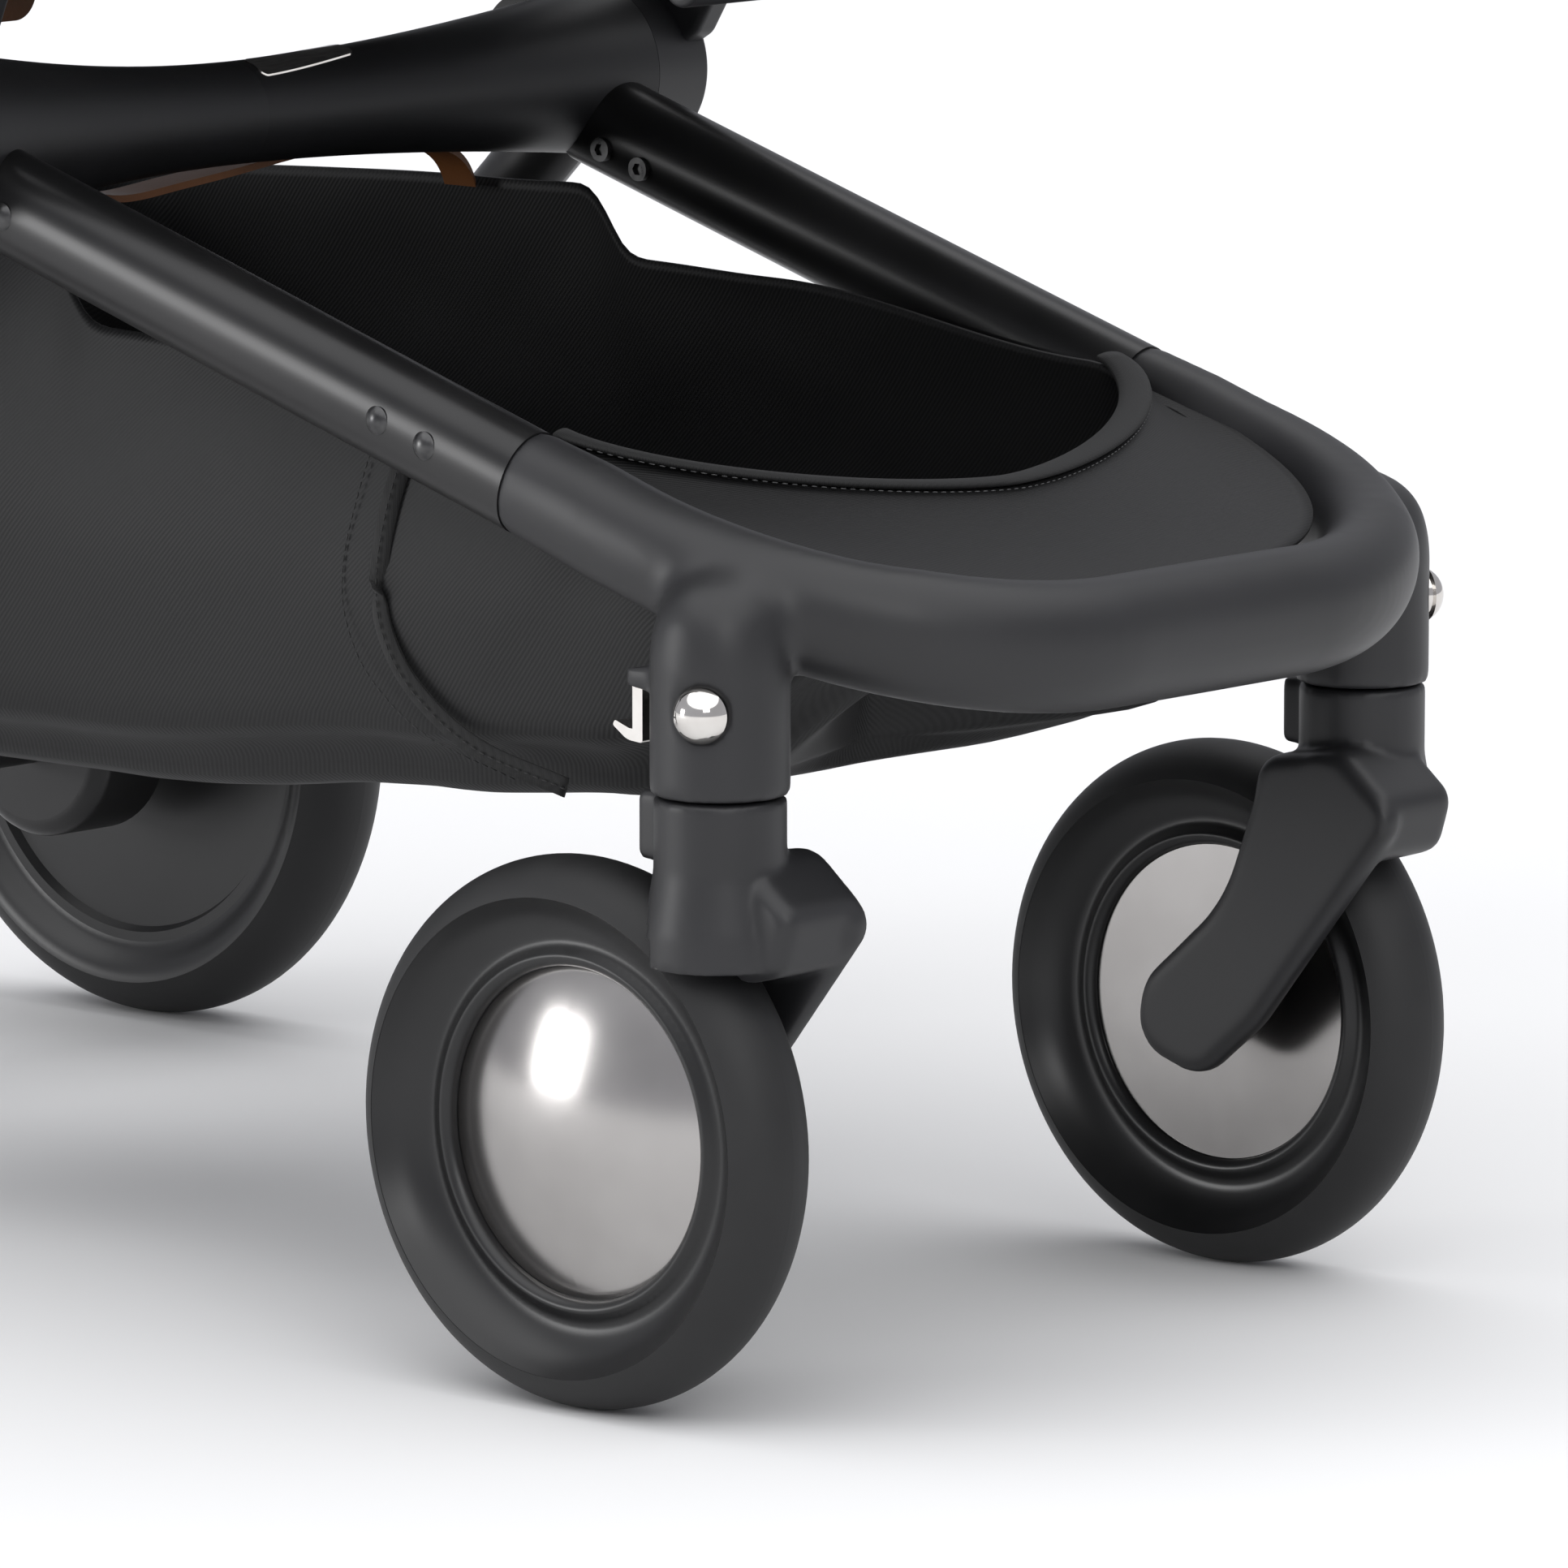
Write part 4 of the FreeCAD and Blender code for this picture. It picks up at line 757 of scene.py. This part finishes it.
REAR_SEAM = [(118, 324, -3), (126, 300, -0.6), (132, 276, 0.8), (131, 256, 1.2), (120, 236, 0.4), (96, 218, -2.4),
             (62, 206, -9)]
FRONT_SEAM = [(104, 318, -2), (111, 296, 0), (115, 274, 1.0), (113, 254, 1.2), (100, 234, 0), (74, 216, -3.5),
              (38, 205, -10)]
flat_tape = [(a / 1000, b / 1000) for a, b in
             ((-0.5, -3.6), (0.5, -3.4), (0.9, 0), (0.5, 3.4), (-0.5, 3.6), (-0.9, 0))]
for side, word in ((1, "right"), (-1, "left")):
    tape = sweep("seam_tape_" + word, wall_line(side, FRONT_SEAM), flat_tape, binding_tape)
    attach(tape, "front_frame")
    sew("seam_stitches_" + word, [wall_line(side, REAR_SEAM, 0.5, 120), wall_line(side, FRONT_SEAM, 1.6, 120)],
        black_thread, "front_frame", 3.8, 2.8, 0.34)

# %% [markdown]
# ## Cushions
# The seat cushion and the backrest are stuffed. A copy of the stand-in solid becomes small
# even faces, and a short cloth simulation with air pressure inside blows it up. The move
# of every point is capped, so the cushion stays inside the room it has.

# %% The cushion maker
def stuff(obj, size_mm, pressure, cap_mm, steps=20):
    remesh(obj, size_mm, smooth=3)
    start = [v.co.copy() for v in obj.data.vertices]
    cloth = obj.modifiers.new("stuffing", "CLOTH")
    cloth.settings.use_pressure = True
    cloth.settings.uniform_pressure_force = pressure
    cloth.settings.effector_weights.gravity = 0
    cloth.settings.quality = 4
    cloth.settings.tension_stiffness = cloth.settings.compression_stiffness = 18
    scene = bpy.context.scene
    for step in range(1, steps + 1):
        scene.frame_set(step)
    settle(obj)
    scene.frame_set(1)
    for vertex, origin in zip(obj.data.vertices, start):
        move = vertex.co - origin
        if move.length > cap_mm / 1000:
            vertex.co = origin + move.normalized() * cap_mm / 1000
    rounder = obj.modifiers.new("rounder", "SUBSURF")
    rounder.levels = rounder.render_levels = 1
    settle(obj)
    obj.data.shade_smooth()
    return obj


# %% Seat cushion
seat_cushion = copy_of("seat_base", "seat_cushion")
dress(seat_cushion, seat_cloth)
stuff(seat_cushion, size_mm=6.0, pressure=4.0, cap_mm=6.0)
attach(seat_cushion, "front_frame")
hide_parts("seat_base")
print("seat cushion", len(seat_cushion.data.polygons), "faces")

# %% [markdown]
# The backrest is quilted: three channels across it are sewn through. The channels are
# pressed in after the stuffing, where a row of stitches follows each of them.

# %% Backrest
LEAN = math.radians(20)
lean_up = Vector((0, math.sin(LEAN), math.cos(LEAN)))
lean_front = Vector((0, -math.cos(LEAN), math.sin(LEAN)))
hinge = spot(0, 440, 520)
back_cushion = copy_of("backrest_pad", "back_cushion")
dress(back_cushion, seat_cloth)
stuff(back_cushion, size_mm=6.0, pressure=4.0, cap_mm=6.0)
CHANNELS, CHANNEL_WIDE, CHANNEL_DEEP = (0.150, 0.270, 0.390), 0.007, 0.006
for vertex in back_cushion.data.vertices:
    along, square = (vertex.co - hinge).dot(lean_up), (vertex.co - hinge).dot(lean_front)
    dent = sum(math.exp(-((along - c) / CHANNEL_WIDE) ** 2) for c in CHANNELS)
    inner = max(0.0, min(1.0, (0.128 - abs(vertex.co.x)) / 0.012))
    if square > 0.01:
        vertex.co -= lean_front * CHANNEL_DEEP * dent * inner
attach(back_cushion, "backrest")
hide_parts("backrest_pad")


def on_backrest(x_mm, along_mm, square_mm):
    return hinge + Vector((x_mm / 1000, 0, 0)) + lean_up * along_mm / 1000 + lean_front * square_mm / 1000


sew("quilting", [[on_backrest(x, c * 1000, 31.0) for x in range(-116, 117, 2)] for c in CHANNELS], grey_thread,
    "backrest", 4.4, 3.0, 0.45)
print("back cushion", len(back_cushion.data.polygons), "faces")

# %% [markdown]
# ## Harness
# Belts are flat webbing: a thin band that comes out of the backrest at the shoulder and
# follows it down to the buckle. Its own map runs along the band, so the woven ribs follow.

# %% Shoulder belts
def band(name, line, wide_mm, thick_mm, side_way, material):
    rows = []
    for i, p in enumerate(line):
        ahead = (line[min(i + 1, len(line) - 1)] - line[max(i - 1, 0)]).normalized()
        out = ahead.cross(side_way).normalized()
        half, lift = side_way * wide_mm / 2000, out * thick_mm / 2000
        rows.append([p - half - lift, p + half - lift, p + half + lift, p - half + lift])
    made = grid_piece(name, rows, material, closed=True)
    work = bmesh.new()
    work.from_mesh(made.data)
    work.verts.ensure_lookup_table()
    last = (len(line) - 1) * 4
    work.faces.new([work.verts[i] for i in (0, 1, 2, 3)])
    work.faces.new([work.verts[last + i] for i in (3, 2, 1, 0)])
    bmesh.ops.recalc_face_normals(work, faces=work.faces)
    layer = work.loops.layers.uv.new("along")
    for face in work.faces:
        for corner in face.loops:
            p = corner.vert.co
            corner[layer].uv = (p.dot(side_way), (p - line[0]).length)
    work.to_mesh(made.data)
    work.free()
    for polygon in made.data.polygons:
        polygon.use_smooth = False
    return made


BELT_SPOTS = ((48, 402, 30), (48, 392, 39), (48, 330, 41.5), (48, 250, 41), (47, 180, 42), (44, 128, 42))
for side, word in ((1, "right"), (-1, "left")):
    line = smooth_line([on_backrest(side * x, a, s) for x, a, s in BELT_SPOTS], 60)
    belt = band("shoulder_belt_" + word, line, 28, 1.6, Vector((1, 0, 0)), webbing)
    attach(belt, "backrest")
    if side == 1:
        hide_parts("shoulder_belts")
    print(belt.name, round(sum((q - p).length for p, q in zip(line[:-1], line[1:])), 3), "m long")

# %% [markdown]
# ## Canopy
# The canopy is two curved sheets. Along each sewn line the cloth is at full height, and in
# between it sinks a little, so every gore is a shallow trough. A rule in polar form about
# the hinge draws it: each cross line climbs one cheek, rounds the shoulder and crosses the
# top. The cloth's pattern is a band over the top with a cheek sector on either side.

# %% The hood rule
HOOD_ALONG, HUB_R, SHOULDER_R, GORE_STEPS, GORE_SINK = 370, 18.0, 26.0, 10, 5.0
hood_hinge = spot(0, 440 + HOOD_ALONG * math.sin(LEAN), 520 + HOOD_ALONG * math.cos(LEAN))


def hood_line(turn, radius, half, sink):
    """One cross line of the hood at an angle from straight up, in mm about its hinge."""
    soft, line = SHOULDER_R, []
    r = radius - sink
    for k in range(9):
        line.append((half - sink * 0.5 * math.sin(math.pi * k / 8), HUB_R + (r - soft - HUB_R) * k / 8))
    for k in range(1, 8):
        a = math.pi / 2 * k / 8
        line.append((half - soft * (1 - math.cos(a)), r - soft * (1 - math.sin(a))))
    for k in range(0, 9):
        line.append(((half - soft) * (1 - k / 8), r))
    line = line + [(-x, y) for x, y in reversed(line[:-1])]
    way = Vector((0, -math.sin(turn), math.cos(turn)))
    return [hood_hinge + Vector((x / 1000, 0, 0)) + way * y / 1000 for x, y in line]


def hood(name, node, body, radius, half, start, stop, gores, wall_mm):
    rows, steps = [], gores * GORE_STEPS
    for k in range(steps + 1):
        turn = math.radians(start + (stop - start) * k / steps)
        sink = GORE_SINK * math.sin(math.pi * (k % GORE_STEPS) / GORE_STEPS)
        rows.append(hood_line(turn, radius, half, sink))
    sheet = grid_piece(name, rows, seat_cloth)
    middle = sheet.data.polygons[len(sheet.data.polygons) // 2]
    if middle.normal.dot(middle.center - hood_hinge) < 0:
        sheet.data.flip_normals()
    thicken(sheet, wall_mm, -1.0, 0)
    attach(sheet, body)
    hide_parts(node)
    sew(name + "_stitches", [[p + (p - hood_hinge).normalized() * 0.0004 for p in
                              smooth_line(rows[g * GORE_STEPS][2:-2], 160)] for g in range(1, gores)],
        grey_thread, body, 4.6, 3.2, 0.4)
    return sheet


hood("canopy_cloth_rear", "canopy_rear", "backrest", 232.0, 190.0, -74, 14, 3, 1.6)
hood("canopy_cloth_front", "canopy_front", "canopy", 228.4, 186.4, -12, 78, 3, 1.6)
DISC_X, DISC_R, DISC_HALF = 181.5, 0.0185, 0.0055
disc_round = [(DISC_R * math.cos(2 * math.pi * k / 32), DISC_R * math.sin(2 * math.pi * k / 32)) for k in range(32)]
for side, word in ((1, "right"), (-1, "left")):
    centre = spot(side * DISC_X, 440 + HOOD_ALONG * math.sin(LEAN), 520 + HOOD_ALONG * math.cos(LEAN))
    disc = [centre + Vector((d, 0, 0)) for d in (-DISC_HALF, DISC_HALF)]
    hub = sweep("canopy_hinge_" + word, disc, disc_round, rim_plastic)
    hub.data.set_sharp_from_angle(angle=math.radians(40))
    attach(hub, "canopy")

# %% [markdown]
# ## Leather grip and bumper
# The grip and the bumper bar are wrapped in leather whose edges meet in one sewn line on
# the underside. The stitches follow the same bends as the bars.

# %% Stitches on the wrapped bars
def bend_path(spots, bends, per_bend=14):
    """The middle line of a bent bar, its corners rounded by circle arcs (radii in mm)."""
    line = [spots[0]]
    for i, radius in enumerate(bends, 1):
        a, b, c = spots[i - 1], spots[i], spots[i + 1]
        u, v = (a - b).normalized(), (c - b).normalized()
        half = math.acos(max(-1, min(1, u.dot(v)))) / 2
        reach = radius / 1000 / math.tan(half)
        middle = b + (u + v).normalized() * radius / 1000 / math.sin(half)
        for k in range(per_bend + 1):
            t = k / per_bend
            p = (b + u * reach).lerp(b + v * reach, t)
            line.append(middle + (p - middle).normalized() * radius / 1000)
    return line + [spots[-1]]


BAR_HALF, BAR_BEND = 158.6, 85
bar_line = bend_path([spot(BAR_HALF, 290, 700), spot(BAR_HALF, 70, 708), spot(-BAR_HALF, 70, 708),
                      spot(-BAR_HALF, 290, 700)], (BAR_BEND, BAR_BEND))
sew("bumper_stitches", [smooth_line([p + Vector((0, 0, -0.0091)) for p in bar_line], 260)], pale_thread, "bumper",
    5.0, 3.6, 0.5)
up_handle = Vector((0, 860 - 345, 1050 - 415)).normalized()
grip_top = spot(0, 860, 1050)
grip_side, grip_leg = Vector((0.20925, 0, 0)), up_handle * 0.090
grip_line = bend_path([grip_top + grip_side - grip_leg, grip_top + grip_side, grip_top - grip_side,
                       grip_top - grip_side - grip_leg], (70, 70))
grip_under = Vector((0, -up_handle.z, up_handle.y))
sew("grip_stitches", [smooth_line([p + grip_under * 0.0146 for p in grip_line], 260)], pale_thread, "handle_upper",
    5.0, 3.6, 0.5)
print("both wrapped bars sewn")

# %% [markdown]
# ## Footrest pad
# The board keeps its own mesh; a quilted pad lies on its front face.

# %% Calf pad
foot_hinge = spot(0, 69, 590)
FOOT_SLOPE = math.radians(48)
foot_down = Vector((0, -math.cos(FOOT_SLOPE), -math.sin(FOOT_SLOPE)))
foot_out = Vector((0, -math.sin(FOOT_SLOPE), math.cos(FOOT_SLOPE)))
PAD_DOWN, PAD_ACROSS = 32, 48
rows = []
for i in range(PAD_DOWN + 1):
    a = i / PAD_DOWN
    row = []
    for j in range(PAD_ACROSS + 1):
        u = j / PAD_ACROSS
        rise = (math.sin(math.pi * a) ** 0.35) * (math.sin(math.pi * u) ** 0.3)
        groove = sum(math.exp(-((u - c) / 0.012) ** 2) for c in (0.25, 0.5, 0.75))
        lift = 9.2 + 8.0 * rise - 3.0 * groove * rise
        row.append(foot_hinge + Vector(((-146 + 292 * u) / 1000, 0, 0)) + foot_down * (20 + 124 * a) / 1000
                   + foot_out * lift / 1000)
    rows.append(row)
calf_pad = grid_piece("calf_pad", rows, seat_cloth)
middle_face = calf_pad.data.polygons[len(calf_pad.data.polygons) // 2]
if middle_face.normal.dot(foot_out) < 0:
    calf_pad.data.flip_normals()
work = bmesh.new()
work.from_mesh(calf_pad.data)
rim = [e for e in work.edges if e.is_boundary]
made = bmesh.ops.extrude_edge_only(work, edges=rim)
for v in (g for g in made["geom"] if isinstance(g, bmesh.types.BMVert)):
    v.co -= foot_out * 0.0015
bmesh.ops.holes_fill(work, edges=[e for e in work.edges if e.is_boundary], sides=0)
bmesh.ops.recalc_face_normals(work, faces=work.faces)
work.to_mesh(calf_pad.data)
work.free()
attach(calf_pad, "leg_rest")
print("calf pad", len(calf_pad.data.polygons), "faces")
